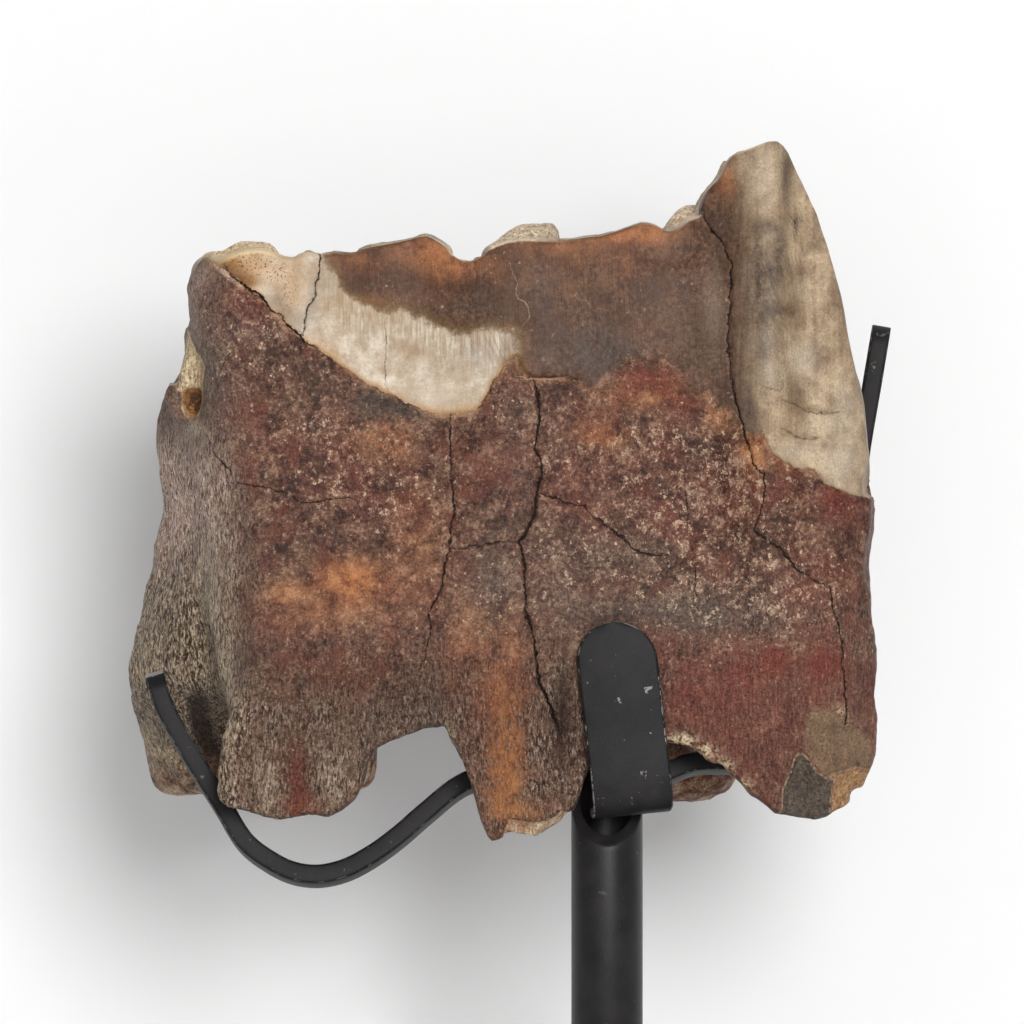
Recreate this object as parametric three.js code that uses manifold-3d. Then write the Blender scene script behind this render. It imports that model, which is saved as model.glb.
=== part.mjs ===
// A fossil woolly rhino cheek tooth, resting in a bent-strip display stand. Millimetres, +Z up.
// The origin is on the post's axis, at the underside of the base plate. The tooth's cheek side
// faces -Y, its tongue side +Y, and X runs along the jaw.

import * as THREE from "three";
import { mergeVertices } from "three/addons/utils/BufferGeometryUtils.js";
import Module from "manifold-3d";

const wasm = await Module();
wasm.setup();

// ---- Driving dimensions ----

const base = { side: 84, height: 7, cornerRadius: 5, bevel: 0.8 };
const post = { diameter: 6, wall: 0.8, socketDepth: 5, cutSlope: 1.25, cutFrontZ: -0.4, topZ: 6.6 };
const clip = { thickness: 0.9, width: 6.7, tailWidth: 5.4 };
const cradle = { thickness: 1.6, width: 4.2, tilt: 9 }; // tilt: how far its width leans, in degrees
const seatClearance = 0.3; // left between pieces that touch
const postSides = 32;
const toothZ = 58; // height of the lowest root tip above the base's underside
const cellSize = 2.16; // of the grid that the tooth's surface is drawn on

// The tooth's outline seen from the cheek side: [x, z], z from the lowest root tip.
const cheekOutline = [
  [-35.3, 46.4], [-34.9, 48.1], [-33.8, 48.9], [-30.0, 49.7], [-26.6, 48.9], [-22.0, 49.4],
  [-15.3, 50.8], [-14.0, 50.4], [-11.5, 48.9], [-10.2, 49.2], [-3.9, 50.4], [-0.6, 50.7],
  [3.6, 51.9], [8.1, 53.2], [8.5, 54.8], [10.8, 57.8], [13.7, 58.8], [15.0, 58.7],
  [17.2, 53.6], [18.6, 49.7], [20.0, 44.8], [21.1, 39.8], [22.1, 32.2], [21.9, 28.9],
  [22.4, 26.8], [21.8, 23.5], [22.7, 15.1], [22.8, 9.0], [21.3, 4.2], [20.4, 3.4],
  [18.1, 1.5], [16.2, 1.8], [13.7, 3.4], [11.6, 5.5], [7.0, 8.2], [3.5, 8.6],
  [-0.8, 6.5], [-3.0, 2.1], [-6.0, 0.0], [-9.8, 0.2], [-10.7, 2.5], [-11.9, 6.3],
  [-13.6, 9.7], [-17.4, 8.8], [-19.5, 7.1], [-20.3, 5.0], [-22.0, 2.7], [-24.1, 2.0],
  [-30.4, 2.5], [-32.8, 3.6], [-32.9, 5.4], [-32.5, 20.0], [-33.6, 32.0], [-35.0, 42.0],
];

// ---- Small helpers ----

const { clamp, degToRad, smoothstep } = THREE.MathUtils;

function smoothMin(a, b, blend) {
  const overlap = Math.max(blend - Math.abs(a - b), 0) / blend;
  return Math.min(a, b) - (overlap * overlap * blend) / 4;
}

const smoothMax = (a, b, blend) => -smoothMin(-a, -b, blend);

const bump = (t, centre, halfWidth) => Math.exp(-(((t - centre) / halfWidth) ** 2));

// A smooth curve through [position, value, value...] rows, as a function of the position.
function curveThrough(rows) {
  const size = rows[0].length - 1;
  const curve = new THREE.CubicInterpolant(
    Float32Array.from(rows, (row) => row[0]),
    Float32Array.from(rows.flatMap((row) => row.slice(1))),
    size,
  );
  return (t) => Array.from(curve.evaluate(t));
}

// Distance from (x, y) to a polygon's edge, negative inside it.
function polygonDistance(points, x, y) {
  let nearest = Infinity;
  let inside = false;
  for (let i = 0, j = points.length - 1; i < points.length; j = i++) {
    const [ax, ay] = points[j];
    const [bx, by] = points[i];
    const dx = bx - ax;
    const dy = by - ay;
    const along = clamp(((x - ax) * dx + (y - ay) * dy) / (dx * dx + dy * dy), 0, 1);
    nearest = Math.min(nearest, Math.hypot(x - ax - dx * along, y - ay - dy * along));
    if (ay > y !== by > y && x < (dx * (y - ay)) / dy + ax) inside = !inside;
  }
  return inside ? -nearest : nearest;
}

function solidFrom(geometry) {
  const bare = geometry.clone();
  bare.deleteAttribute("normal");
  bare.deleteAttribute("uv");
  const merged = mergeVertices(bare, 1e-4);
  return new wasm.Manifold(
    new wasm.Mesh({
      numProp: 3,
      vertProperties: new Float32Array(merged.attributes.position.array),
      triVerts: new Uint32Array(merged.index.array),
    }),
  );
}

function geometryFrom(solid) {
  const { vertProperties, triVerts } = solid.getMesh();
  const geometry = new THREE.BufferGeometry();
  geometry.setAttribute("position", new THREE.BufferAttribute(vertProperties, 3));
  geometry.setIndex(new THREE.BufferAttribute(triVerts, 1));
  geometry.computeVertexNormals();
  return geometry;
}

// ---- The tooth ----

// How far the cheek wall's surface lies in front of the post's axis, with its upright folds.
const cheekLean = curveThrough([
  [-4, 3.2], [0, 4.2], [8, 5.4], [18, 6.2], [30, 5.2], [45, 4.0], [60, 2.6],
]);

function cheekSurface(x, z) {
  const crown = smoothstep(z, 20, 32);
  const roots = 1 - smoothstep(z, 8, 24);
  let forward = cheekLean(z)[0];
  forward += 1.9 * bump(x, 13.3, 3.0) * smoothstep(z, 16, 34);
  forward -= 0.7 * bump(x, 16.6, 1.2) * crown;
  forward -= 1.1 * bump(x, 5.5, 4.5) * crown;
  forward += 0.8 * bump(x, -8, 5) * crown;
  forward -= 0.8 * bump(x, -17, 4) * crown;
  forward += 0.9 * bump(x, -26, 6);
  forward += 0.9 * bump(x, -7.5, 4) * roots;
  forward -= 1.6 * bump(x, -16.5, 3.2) * roots;
  forward += 0.9 * bump(x, 16, 4.5) * roots;
  forward -= 4.5 * smoothstep(x, 17.5, 25);
  forward -= 3.0 * smoothstep(-x, 31.5, 38);
  return -forward;
}

const wallThickness = curveThrough([
  [-4, 6.0], [0, 6.6], [8, 7.6], [20, 9.5], [40, 9.0], [50, 7.0], [60, 4.6],
]);

function cheekWall(x, y, z) {
  const half = wallThickness(z)[0] / 2;
  const sheet = Math.abs(y - cheekSurface(x, z) - half) - half;
  return smoothMax(sheet, polygonDistance(cheekOutline, x, z), 2.2);
}

// The crown's plan at each height: front left, left, back left, back right, right, front right.
const planAt = curveThrough([
  [-4, -30, 0, -35, 14, -30, 26, 8, 27, 15, 13, 18, 0],
  [12, -33, 0, -41.1, 14, -34, 30, 12, 32, 18.4, 13, 21.2, 1],
  [19, -33.6, -1, -39.8, 13, -34, 34, 13, 36, 19.2, 13, 21.2, 0],
  [28, -34, -1, -38.6, 12, -33, 35, 13, 37, 19.6, 13, 21.0, 0],
  [36, -34.4, -1, -38.6, 10, -31, 33, 11, 35, 19.2, 13, 20.4, 0],
  [41, -34.2, 0, -36.0, 10, -29.5, 31.5, 10, 33.5, 17.8, 13, 19.2, 0],
  [49, -33.6, 0, -34.0, 10, -27, 28, 7.5, 30, 15.0, 13, 17.4, 0],
  [62, -31, 0, -31, 10, -24, 24, 4, 26, 11, 12, 14, 0],
]);
const planRounding = 6.5;

function crownPlan(x, y, z) {
  const flat = planAt(z);
  const corners = [];
  for (let i = 0; i < flat.length; i += 2) corners.push([flat[i], flat[i + 1]]);
  const centre = [-9, 15];
  const inset = corners.map(([cx, cy]) => {
    const reach = Math.hypot(cx - centre[0], cy - centre[1]);
    const scale = (reach - planRounding * 1.12) / reach;
    return [centre[0] + (cx - centre[0]) * scale, centre[1] + (cy - centre[1]) * scale];
  });
  return polygonDistance(inset, x, y) - planRounding;
}

// The chewing surface: worn crests that slope to the tongue side, highest beside the cheek wall.
function chewingHeight(x, y) {
  let height = 48.3 - 0.14 * Math.max(y - 4, 0) - 0.007 * Math.max(y - 18, 0) ** 2;
  height += 3.3 * bump(x, -5.6, 2.6) * bump(y, 8, 4);
  height += 4.2 * bump(x, 6.5, 4.0) * bump(y, 7, 4);
  height += 1.2 * bump(x, -25, 12) * bump(y, 30, 6);
  height -= 1.6 * bump(x, -20, 6) * bump(y, 24, 5);
  height -= 1.4 * bump(x, 6, 4) * bump(y, 23, 6);
  return height;
}

// A pit or valley sunk from above along a segment, widening upwards.
function valley(x, y, z, [ax, ay], [bx, by], halfWidth, floor, flare) {
  const dx = bx - ax;
  const dy = by - ay;
  const along = clamp(((x - ax) * dx + (y - ay) * dy) / (dx * dx + dy * dy), 0, 1);
  const off = Math.hypot(x - ax - dx * along, y - ay - dy * along);
  const width = halfWidth + Math.max(z - floor, 0) * flare;
  return smoothMax(off - width, floor - z, 3);
}

// A root: an elliptical column that leans and tapers. Rows are [z, x, y, radiusX, radiusY].
function root(rows) {
  const axis = curveThrough(rows);
  const tip = rows[0][0];
  return (x, y, z) => {
    const [cx, cy, rx, ry] = axis(clamp(z, tip, rows[rows.length - 1][0]));
    const round = Math.hypot((x - cx) / rx, (y - cy) / ry) - 1;
    return smoothMax(round * Math.min(rx, ry), Math.max(tip - z, z - 24), 3);
  };
}

const backLeftRoot = root([
  [4.6, -28.5, 20, 7.0, 8.0], [9, -29.6, 18.5, 9.5, 11], [13, -29.8, 18, 10.5, 13], [24, -26, 18, 11, 15],
]);
const backRightRoot = root([
  [2.6, 2.5, 23, 8.5, 5.0], [8, 1.0, 23, 12, 8.5], [13, 1, 22, 13.5, 11], [24, 2, 20, 15, 14],
]);

function toothField(x, y, z) {
  const crownFloor = 11.5 + 2.5 * bump(x, -8, 14) * bump(y, 8, 9);
  let body = crownPlan(x, y, z);
  body = smoothMax(body, crownFloor - z, 5);
  body = smoothMax(body, z - chewingHeight(x, y), 1.8);
  body = smoothMin(body, backLeftRoot(x, y, z), 4);
  body = smoothMin(body, backRightRoot(x, y, z), 4);
  // The median valley opens to the tongue side; two closed pits lie between the crests.
  body = smoothMax(body, -valley(x, y, z, [-9, 46], [-4, 21], 2.4, 24, 0.2), 4);
  body = smoothMax(body, -valley(x, y, z, [-4, 21], [4, 17.5], 2.2, 32, 0.1), 2.4);
  body = smoothMax(body, -valley(x, y, z, [-10.5, 10.5], [-8.5, 14], 2.6, 37, 0.06), 1.8);
  body = smoothMax(body, -valley(x, y, z, [-23.5, 12], [-23, 20], 2.6, 34, 0.08), 1.8);
  let field = smoothMin(body, cheekWall(x, y, z), 3);
  // The hollow between the roots, the room around the post, and the upright groove beside the
  // front left root.
  const hollow = Math.hypot((y - 5.6) / 4.9, (z - 1) / 8.4) - 1;
  field = smoothMax(field, -hollow * 4.9, 2);
  const postRoom = Math.hypot(x, y) - post.diameter / 2 - 2 * seatClearance;
  field = smoothMax(field, -smoothMax(postRoom, z - 9.5, 1.5), 1);
  const groove = Math.hypot((x + 36.8 - 0.06 * z) / 3.0, (y - 1.4) / 2.8) - 1;
  field = smoothMax(field, -smoothMax(groove * 2.8, z - 21, 6), 2);
  return field;
}

// The surface where a field is zero: one point in each grid cell that it crosses, joined in quads.
function surfaceOf(field, low, high, cell) {
  const count = low.map((start, axis) => Math.ceil((high[axis] - start) / cell) + 1);
  const [nx, ny, nz] = count;
  const at = (i, j, k) => i + nx * (j + ny * k);
  const values = new Float32Array(nx * ny * nz);
  for (let k = 0; k < nz; k++)
    for (let j = 0; j < ny; j++)
      for (let i = 0; i < nx; i++)
        values[at(i, j, k)] = field(low[0] + i * cell, low[1] + j * cell, low[2] + k * cell);

  const pointOf = new Int32Array(nx * ny * nz).fill(-1);
  const positions = [];
  const corners = [0, 1, 2, 3, 4, 5, 6, 7].map((c) => [c & 1, (c >> 1) & 1, c >> 2]);
  const edges = corners.flatMap((a, m) =>
    corners.flatMap((b, n) =>
      n > m && Math.abs(a[0] - b[0]) + Math.abs(a[1] - b[1]) + Math.abs(a[2] - b[2]) === 1 ? [[a, b]] : [],
    ),
  );
  for (let k = 0; k < nz - 1; k++)
    for (let j = 0; j < ny - 1; j++)
      for (let i = 0; i < nx - 1; i++) {
        const sum = [0, 0, 0];
        let crossings = 0;
        for (const [a, b] of edges) {
          const va = values[at(i + a[0], j + a[1], k + a[2])];
          const vb = values[at(i + b[0], j + b[1], k + b[2])];
          if (va < 0 === vb < 0) continue;
          const share = va / (va - vb);
          for (let axis = 0; axis < 3; axis++) sum[axis] += a[axis] + (b[axis] - a[axis]) * share;
          crossings++;
        }
        if (!crossings) continue;
        pointOf[at(i, j, k)] = positions.length / 3;
        positions.push(
          low[0] + (i + sum[0] / crossings) * cell,
          low[1] + (j + sum[1] / crossings) * cell,
          low[2] + (k + sum[2] / crossings) * cell,
        );
      }

  const faces = [];
  const steps = [[1, 0, 0], [0, 1, 0], [0, 0, 1]];
  for (let k = 1; k < nz - 1; k++)
    for (let j = 1; j < ny - 1; j++)
      for (let i = 1; i < nx - 1; i++)
        steps.forEach((step, axis) => {
          const here = values[at(i, j, k)] < 0;
          const next = values[at(i + step[0], j + step[1], k + step[2])] < 0;
          if (here === next) return;
          const u = steps[(axis + 1) % 3];
          const v = steps[(axis + 2) % 3];
          const quad = [[0, 0], [1, 0], [1, 1], [0, 1]].map(([a, b]) =>
            pointOf[at(i - a * u[0] - b * v[0], j - a * u[1] - b * v[1], k - a * u[2] - b * v[2])],
          );
          if (next) quad.reverse();
          faces.push(quad[0], quad[1], quad[2], quad[0], quad[2], quad[3]);
        });
  const geometry = new THREE.BufferGeometry();
  geometry.setAttribute("position", new THREE.Float32BufferAttribute(positions, 3));
  geometry.setIndex(faces);
  return geometry;
}

// Evens out the mesh: each vertex moves towards the middle of its neighbours, then back along
// the field's slope onto the surface.
function settle(geometry, field, rounds) {
  const place = geometry.attributes.position;
  const index = geometry.index.array;
  const neighbours = Array.from({ length: place.count }, () => new Set());
  for (let i = 0; i < index.length; i += 3)
    for (let j = 0; j < 3; j++) neighbours[index[i + j]].add(index[i + ((j + 1) % 3)]);
  const points = [];
  for (let i = 0; i < place.count; i++) points.push(new THREE.Vector3().fromBufferAttribute(place, i));
  const h = 0.15;
  const slope = new THREE.Vector3();
  for (let round = 0; round < rounds; round++) {
    const middles = neighbours.map((around) => {
      const middle = new THREE.Vector3();
      for (const other of around) middle.addScaledVector(points[other], 1 / around.size);
      return middle;
    });
    points.forEach((point, i) => {
      point.lerp(middles[i], 0.5);
      for (let step = 0; step < 2; step++) {
        const { x, y, z } = point;
        slope.set(
          field(x + h, y, z) - field(x - h, y, z),
          field(x, y + h, z) - field(x, y - h, z),
          field(x, y, z + h) - field(x, y, z - h),
        ).divideScalar(2 * h);
        const off = clamp(field(x, y, z), -0.4, 0.4) / Math.max(slope.lengthSq(), 0.5);
        point.addScaledVector(slope, -off);
      }
    });
  }
  points.forEach((point, i) => place.setXYZ(i, point.x, point.y, point.z));
}

function toothGeometry() {
  const geometry = surfaceOf(toothField, [-45, -12, -4], [27, 44, 63], cellSize);
  settle(geometry, toothField, 3);
  geometry.computeVertexNormals();
  return geometry;
}

// ---- The stand ----

function baseGeometry() {
  const half = base.side / 2 - base.bevel;
  const r = base.cornerRadius;
  const outline = new THREE.Shape()
    .moveTo(-half + r, -half)
    .lineTo(half - r, -half)
    .absarc(half - r, -half + r, r, -Math.PI / 2, 0)
    .lineTo(half, half - r)
    .absarc(half - r, half - r, r, 0, Math.PI / 2)
    .lineTo(-half + r, half)
    .absarc(-half + r, half - r, r, Math.PI / 2, Math.PI)
    .lineTo(-half, -half + r)
    .absarc(-half + r, -half + r, r, Math.PI, Math.PI * 1.5);
  const plate = new THREE.ExtrudeGeometry(outline, {
    depth: base.height - 2 * base.bevel,
    bevelThickness: base.bevel,
    bevelSize: base.bevel,
    bevelSegments: 2,
    curveSegments: 4,
  }).translate(0, 0, base.bevel);
  const socketRadius = post.diameter / 2 + seatClearance;
  const socket = new THREE.CylinderGeometry(socketRadius, socketRadius, 2 * post.socketDepth, postSides);
  socket.rotateX(Math.PI / 2).translate(0, 0, base.height);
  return geometryFrom(solidFrom(plate).subtract(solidFrom(socket)));
}

// A tube that stands in the base's socket. Its top is cut at a slant that faces the cheek side.
function postGeometry() {
  const outer = post.diameter / 2;
  const inner = outer - post.wall;
  const bottom = base.height - post.socketDepth;
  const top = toothZ + post.topZ;
  const profile = [[inner, bottom], [outer, bottom], [outer, top], [inner, top], [inner, bottom]];
  const tube = new THREE.LatheGeometry(profile.map(([x, y]) => new THREE.Vector2(x, y)), postSides);
  tube.rotateX(Math.PI / 2);
  const cutter = new THREE.BoxGeometry(20, 60, 20).translate(0, 0, 10);
  cutter.rotateX(Math.atan(post.cutSlope)).translate(0, -outer, toothZ + post.cutFrontZ);
  return geometryFrom(solidFrom(tube).subtract(solidFrom(cutter)));
}

// A flat strip swept along a path. Each stop gives the place of its middle, the direction of its
// width and a share of that width, which narrows at a round end.
function sweptStrip(stops, thickness, width) {
  const eased = thickness * 0.25; // off each long edge
  const w = width / 2;
  const t = thickness / 2;
  const section = [
    [-w, -t + eased], [-w + eased, -t], [w - eased, -t], [w, -t + eased],
    [w, t - eased], [w - eased, t], [-w + eased, t], [-w, t - eased],
  ];
  const positions = [];
  stops.forEach((stop, i) => {
    const before = stops[Math.max(i - 1, 0)].place;
    const after = stops[Math.min(i + 1, stops.length - 1)].place;
    const along = after.clone().sub(before).normalize();
    const out = new THREE.Vector3().crossVectors(stop.across, along).normalize();
    for (const [a, b] of section) {
      const p = stop.place.clone().addScaledVector(stop.across, a * stop.share).addScaledVector(out, b);
      positions.push(p.x, p.y, p.z);
    }
  });
  const faces = [];
  const n = section.length;
  for (let i = 0; i < stops.length - 1; i++)
    for (let j = 0; j < n; j++) {
      const a = i * n + j;
      const b = i * n + ((j + 1) % n);
      faces.push(a, b + n, b, a, a + n, b + n);
    }
  const last = (stops.length - 1) * n;
  for (let j = 1; j < n - 1; j++) {
    faces.push(0, j, j + 1);
    faces.push(last, last + j + 1, last + j);
  }
  const geometry = new THREE.BufferGeometry();
  geometry.setAttribute("position", new THREE.Float32BufferAttribute(positions, 3));
  geometry.setIndex(faces);
  geometry.computeVertexNormals();
  return geometry;
}

// The share of a strip's width left at a distance from its round end.
const roundEnd = (distance, width) =>
  distance >= width / 2 ? 1 : Math.sqrt(Math.max(1 - (1 - distance / (width / 2)) ** 2, 0.02));

// Stops along a smooth curve of points [x, y, z, share]. A true round flag rounds off that end.
function stopsAlong(points, count, width, across, roundStart, roundFinish) {
  const curve = new THREE.CatmullRomCurve3(points.map(toPlace), false, "centripetal");
  const shares = new THREE.CatmullRomCurve3(points.map((p) => new THREE.Vector3(p[3] ?? 1, 0, 0)));
  const length = curve.getLength();
  const endSteps = [0, 0.04, 0.14, 0.3, 0.55, 0.8].map((step) => (step * width) / 2);
  const from = roundStart ? width / 2 : 0;
  const to = roundFinish ? length - width / 2 : length;
  const distances = roundStart ? [...endSteps] : [];
  for (let i = 0; i <= count; i++) distances.push(from + ((to - from) * i) / count);
  if (roundFinish) distances.push(...endSteps.map((step) => length - step).reverse());
  return distances.map((distance) => {
    const along = clamp(distance / length, 0, 1);
    let share = shares.getPoint(curve.getUtoTmapping(along)).x;
    if (roundStart) share = Math.min(share, roundEnd(distance, width));
    if (roundFinish) share = Math.min(share, roundEnd(length - distance, width));
    return { place: curve.getPointAt(along), across, share };
  });
}

const toPlace = ([x, y, z]) => new THREE.Vector3(x, y, z + toothZ);

// The cradle: one strip bent into two arms, which runs behind the post between the roots.
// Its left arm dips below the front left root and hooks up the left side; its right arm climbs
// the right side and stands free at the top.
const cradlePath = [
  [-38.2, 3.0, 14.0], [-37.2, 2.9, 10.9], [-35.9, 2.7, 8.5], [-34.3, 2.6, 5.8], [-32.4, 2.6, 2.8],
  [-30.4, 2.7, -0.4], [-28.5, 2.8, -1.9], [-26.5, 3.0, -2.9], [-24.3, 3.3, -3.2], [-22.0, 3.6, -2.7],
  [-19.7, 4.0, -1.5], [-17.5, 4.4, 0.1], [-15.3, 4.8, 2.0], [-12.0, 5.2, 4.5], [-8.0, 5.4, 5.5],
  [-4.0, 5.4, 5.2], [0.5, 5.4, 4.7], [4.0, 5.5, 5.0], [7.5, 5.9, 6.2], [12.0, 6.9, 6.2],
  [16.6, 8.6, 6.2], [19.2, 9.8, 7.8], [20.3, 10.6, 11.0], [20.9, 11.3, 18.0], [21.4, 11.8, 26.0],
  [22.0, 12.0, 32.0], [22.9, 12.0, 38.0], [23.6, 12.0, 43.4],
];

function cradleGeometry() {
  const lean = degToRad(cradle.tilt);
  const across = new THREE.Vector3(0, Math.cos(lean), -Math.sin(lean));
  const stops = stopsAlong(cradlePath, 46, cradle.width, across, true, true);
  return sweptStrip(stops, cradle.thickness, cradle.width);
}

// The clip: a strip from the post's slanted mouth, forward under the wall and up its face.
const tailShare = clip.tailWidth / clip.width;
const clipPath = [
  [2.1, 1.1, 6.0, tailShare], [2.1, 0.2, 4.9, tailShare], [2.1, -0.8, 3.8, tailShare],
  [2.0, -2.2, 3.0, 0.9], [1.9, -3.8, 2.75], [2.0, -5.2, 2.75], [2.1, -6.3, 3.2], [2.0, -6.75, 4.6],
  [1.5, -6.9, 9.0], [0.8, -7.1, 15.0], [0.3, -7.05, 18.4],
];

function clipGeometry() {
  const across = new THREE.Vector3(1, 0, 0.1).normalize();
  const stops = stopsAlong(clipPath, 20, clip.width, across, false, true);
  return sweptStrip(stops, clip.thickness, clip.width);
}

// ---- The assembly ----

function part(name, geometry, colour, roughness, metalness) {
  const material = new THREE.MeshStandardMaterial({ color: colour, roughness, metalness });
  const mesh = new THREE.Mesh(geometry, material);
  mesh.name = name;
  return mesh;
}

const group = new THREE.Group();
const tooth = part("tooth", toothGeometry(), 0x6f5145, 0.55, 0);
tooth.position.z = toothZ;
group.add(
  tooth,
  part("base", baseGeometry(), 0x1b1a1a, 0.5, 0.3),
  part("post", postGeometry(), 0x1f1d1e, 0.45, 0.4),
  part("cradle", cradleGeometry(), 0x232122, 0.45, 0.4),
  part("front_clip", clipGeometry(), 0x262425, 0.45, 0.4),
);

export default group;
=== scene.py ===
import math

import bmesh
import bpy
import numpy as np
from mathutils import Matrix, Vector


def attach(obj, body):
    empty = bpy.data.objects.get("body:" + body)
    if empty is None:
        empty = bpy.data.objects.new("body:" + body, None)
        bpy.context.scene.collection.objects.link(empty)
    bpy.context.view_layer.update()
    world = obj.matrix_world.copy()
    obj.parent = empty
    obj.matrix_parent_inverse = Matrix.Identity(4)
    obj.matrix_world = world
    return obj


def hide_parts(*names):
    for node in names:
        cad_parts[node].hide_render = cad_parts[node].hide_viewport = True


# A fossil woolly rhino cheek tooth on a black display stand.
# Both are worked out in millimetres and then turned into metres. The tooth, the strips and the post
# have z = 0 at the lowest root tip and are lifted onto the stand; the base starts at the table.

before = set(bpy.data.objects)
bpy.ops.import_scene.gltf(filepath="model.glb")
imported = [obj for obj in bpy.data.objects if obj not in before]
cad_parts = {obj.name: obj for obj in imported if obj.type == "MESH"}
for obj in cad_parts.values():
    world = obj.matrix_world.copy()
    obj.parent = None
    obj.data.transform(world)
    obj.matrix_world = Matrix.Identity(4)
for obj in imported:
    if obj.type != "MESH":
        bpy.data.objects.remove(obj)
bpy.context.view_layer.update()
toothLift = 58.0  # from the table to the lowest root tip
farAway = 9.0  # what a distance reads far from its edge
print("stage: frame loaded")


def onStand(points):
    return (np.asarray(points, float) + np.array([0, 0, toothLift])) / 1000


def smoothMin(a, b, blend):
    overlap = np.maximum(blend - np.abs(a - b), 0) / blend
    return np.minimum(a, b) - overlap * overlap * blend / 4


def smoothMax(a, b, blend):
    return -smoothMin(-a, -b, blend)


def bump(t, centre, halfWidth):
    return np.exp(-(((t - centre) / halfWidth) ** 2))


def rise(t, low, high):
    # 0 below low, 1 above high, smooth between them
    share = np.clip((t - low) / (high - low), 0, 1)
    return share * share * (3 - 2 * share)


def curveThrough(rows):
    # a smooth curve through [position, value, value...] rows, read at any positions
    rows = np.array(rows, float)
    stops, values = rows[:, 0], rows[:, 1:]
    last = len(stops) - 1

    def read(t):
        t = np.clip(t, stops[0], stops[-1])
        i = np.clip(np.searchsorted(stops, t, side="right"), 1, last)
        t0, t1 = stops[i - 1], stops[i]
        v0, v1 = values[i - 1], values[i]
        before = np.where(i > 1, stops[i - 2], t1)
        after = np.where(i < last, stops[np.minimum(i + 1, last)], t0)
        vBefore = np.where((i > 1)[..., None], values[i - 2], v1)
        vAfter = np.where((i < last)[..., None], values[np.minimum(i + 1, last)], v0)
        half = (t1 - t0) / 2
        wB = half / (t0 - before)
        wA = half / (after - t1)
        p = (t - t0) / (t1 - t0)
        pp = p * p
        ppp = pp * p
        sB = -wB * ppp + 2 * wB * pp - wB * p
        s0 = (1 + wB) * ppp + (-1.5 - 2 * wB) * pp + (-0.5 + wB) * p + 1
        s1 = (-1 - wA) * ppp + (1.5 + wA) * pp + 0.5 * p
        sA = wA * ppp - wA * pp
        return (
            sB[..., None] * vBefore + s0[..., None] * v0 + s1[..., None] * v1 + sA[..., None] * vAfter
        )

    return read


def segmentDistance(x, y, a, b):
    dx, dy = b[0] - a[0], b[1] - a[1]
    along = np.clip(((x - a[0]) * dx + (y - a[1]) * dy) / (dx * dx + dy * dy + 1e-12), 0, 1)
    return np.hypot(x - a[0] - dx * along, y - a[1] - dy * along)


def polygonDistance(points, x, y):
    # distance to a closed outline, negative inside it
    nearest = np.full(np.shape(x), 1e9)
    inside = np.zeros(np.shape(x), bool)
    for a, b in zip([points[-1], *points[:-1]], points):
        nearest = np.minimum(nearest, segmentDistance(x, y, a, b))
        across = np.where(np.abs(b[1] - a[1]) < 1e-9, 1e-9, b[1] - a[1])
        crosses = (a[1] > y) != (b[1] > y)
        inside ^= crosses & (x < (b[0] - a[0]) * (y - a[1]) / across + a[0])
    return np.where(inside, -nearest, nearest)


def lineOffset(points, x, y):
    # distance to a broken line, negative on its right-hand side
    nearest = np.full(np.shape(x), 1e9)
    for a, b in zip(points[:-1], points[1:]):
        off = segmentDistance(x, y, a, b)
        side = np.where((b[0] - a[0]) * (y - a[1]) - (b[1] - a[1]) * (x - a[0]) < 0, -1.0, 1.0)
        nearest = np.where(off < np.abs(nearest), off * side, nearest)
    return nearest


def latticeNoise(p, size, seed):
    # smooth value noise from -1 to 1; size is the width of a lump, one number or one per axis
    q = p / np.asarray(size, float) + seed * 7.31
    cell = np.floor(q).astype(np.int64)
    part = q - cell
    part = part * part * (3 - 2 * part)
    total = 0
    for corner in range(8):
        step = np.array([corner & 1, (corner >> 1) & 1, corner >> 2])
        k = cell + step
        mixed = (k[:, 0] * 73856093) ^ (k[:, 1] * 19349663) ^ (k[:, 2] * 83492791) ^ (seed * 2654435)
        mixed = (mixed ^ (mixed >> 13)) * 1274126177 & 0xFFFFFFFF
        value = ((mixed ^ (mixed >> 16)) & 0xFFFF) / 32767.5 - 1
        weight = np.prod(np.where(step == 1, part, 1 - part), axis=1)
        total = total + value * weight
    return total


def roughNoise(p, size, seed, layers):
    total, height = 0, 1.0
    for layer in range(layers):
        total = total + height * latticeNoise(p, np.asarray(size, float) / 2**layer, seed + layer)
        height *= 0.55
    return total


# The front view that the outlines and cracks are laid out on: a square, viewSize steps wide.
view = {
    "viewSize": 1024,
    "step": 0.084,  # mm
    "postColumn": 607,
    "tipRow": 840,
    "eyeDistance": 700.0,
    "wallDepth": -5.5,  # y of the cheek wall that the outlines lie on
}
eyeX = (view["viewSize"] / 2 - view["postColumn"]) * view["step"]
eyeZ = (view["tipRow"] - view["viewSize"] / 2) * view["step"]


def onWall(points, depth=view["wallDepth"]):
    # view columns and rows to x and z on the tooth, at a depth y
    nearer = 1 + depth / view["eyeDistance"]
    return [
        (
            eyeX + (column - view["viewSize"] / 2) * view["step"] * nearer,
            eyeZ + (view["viewSize"] / 2 - row) * view["step"] * nearer,
        )
        for column, row in points
    ]


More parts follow.
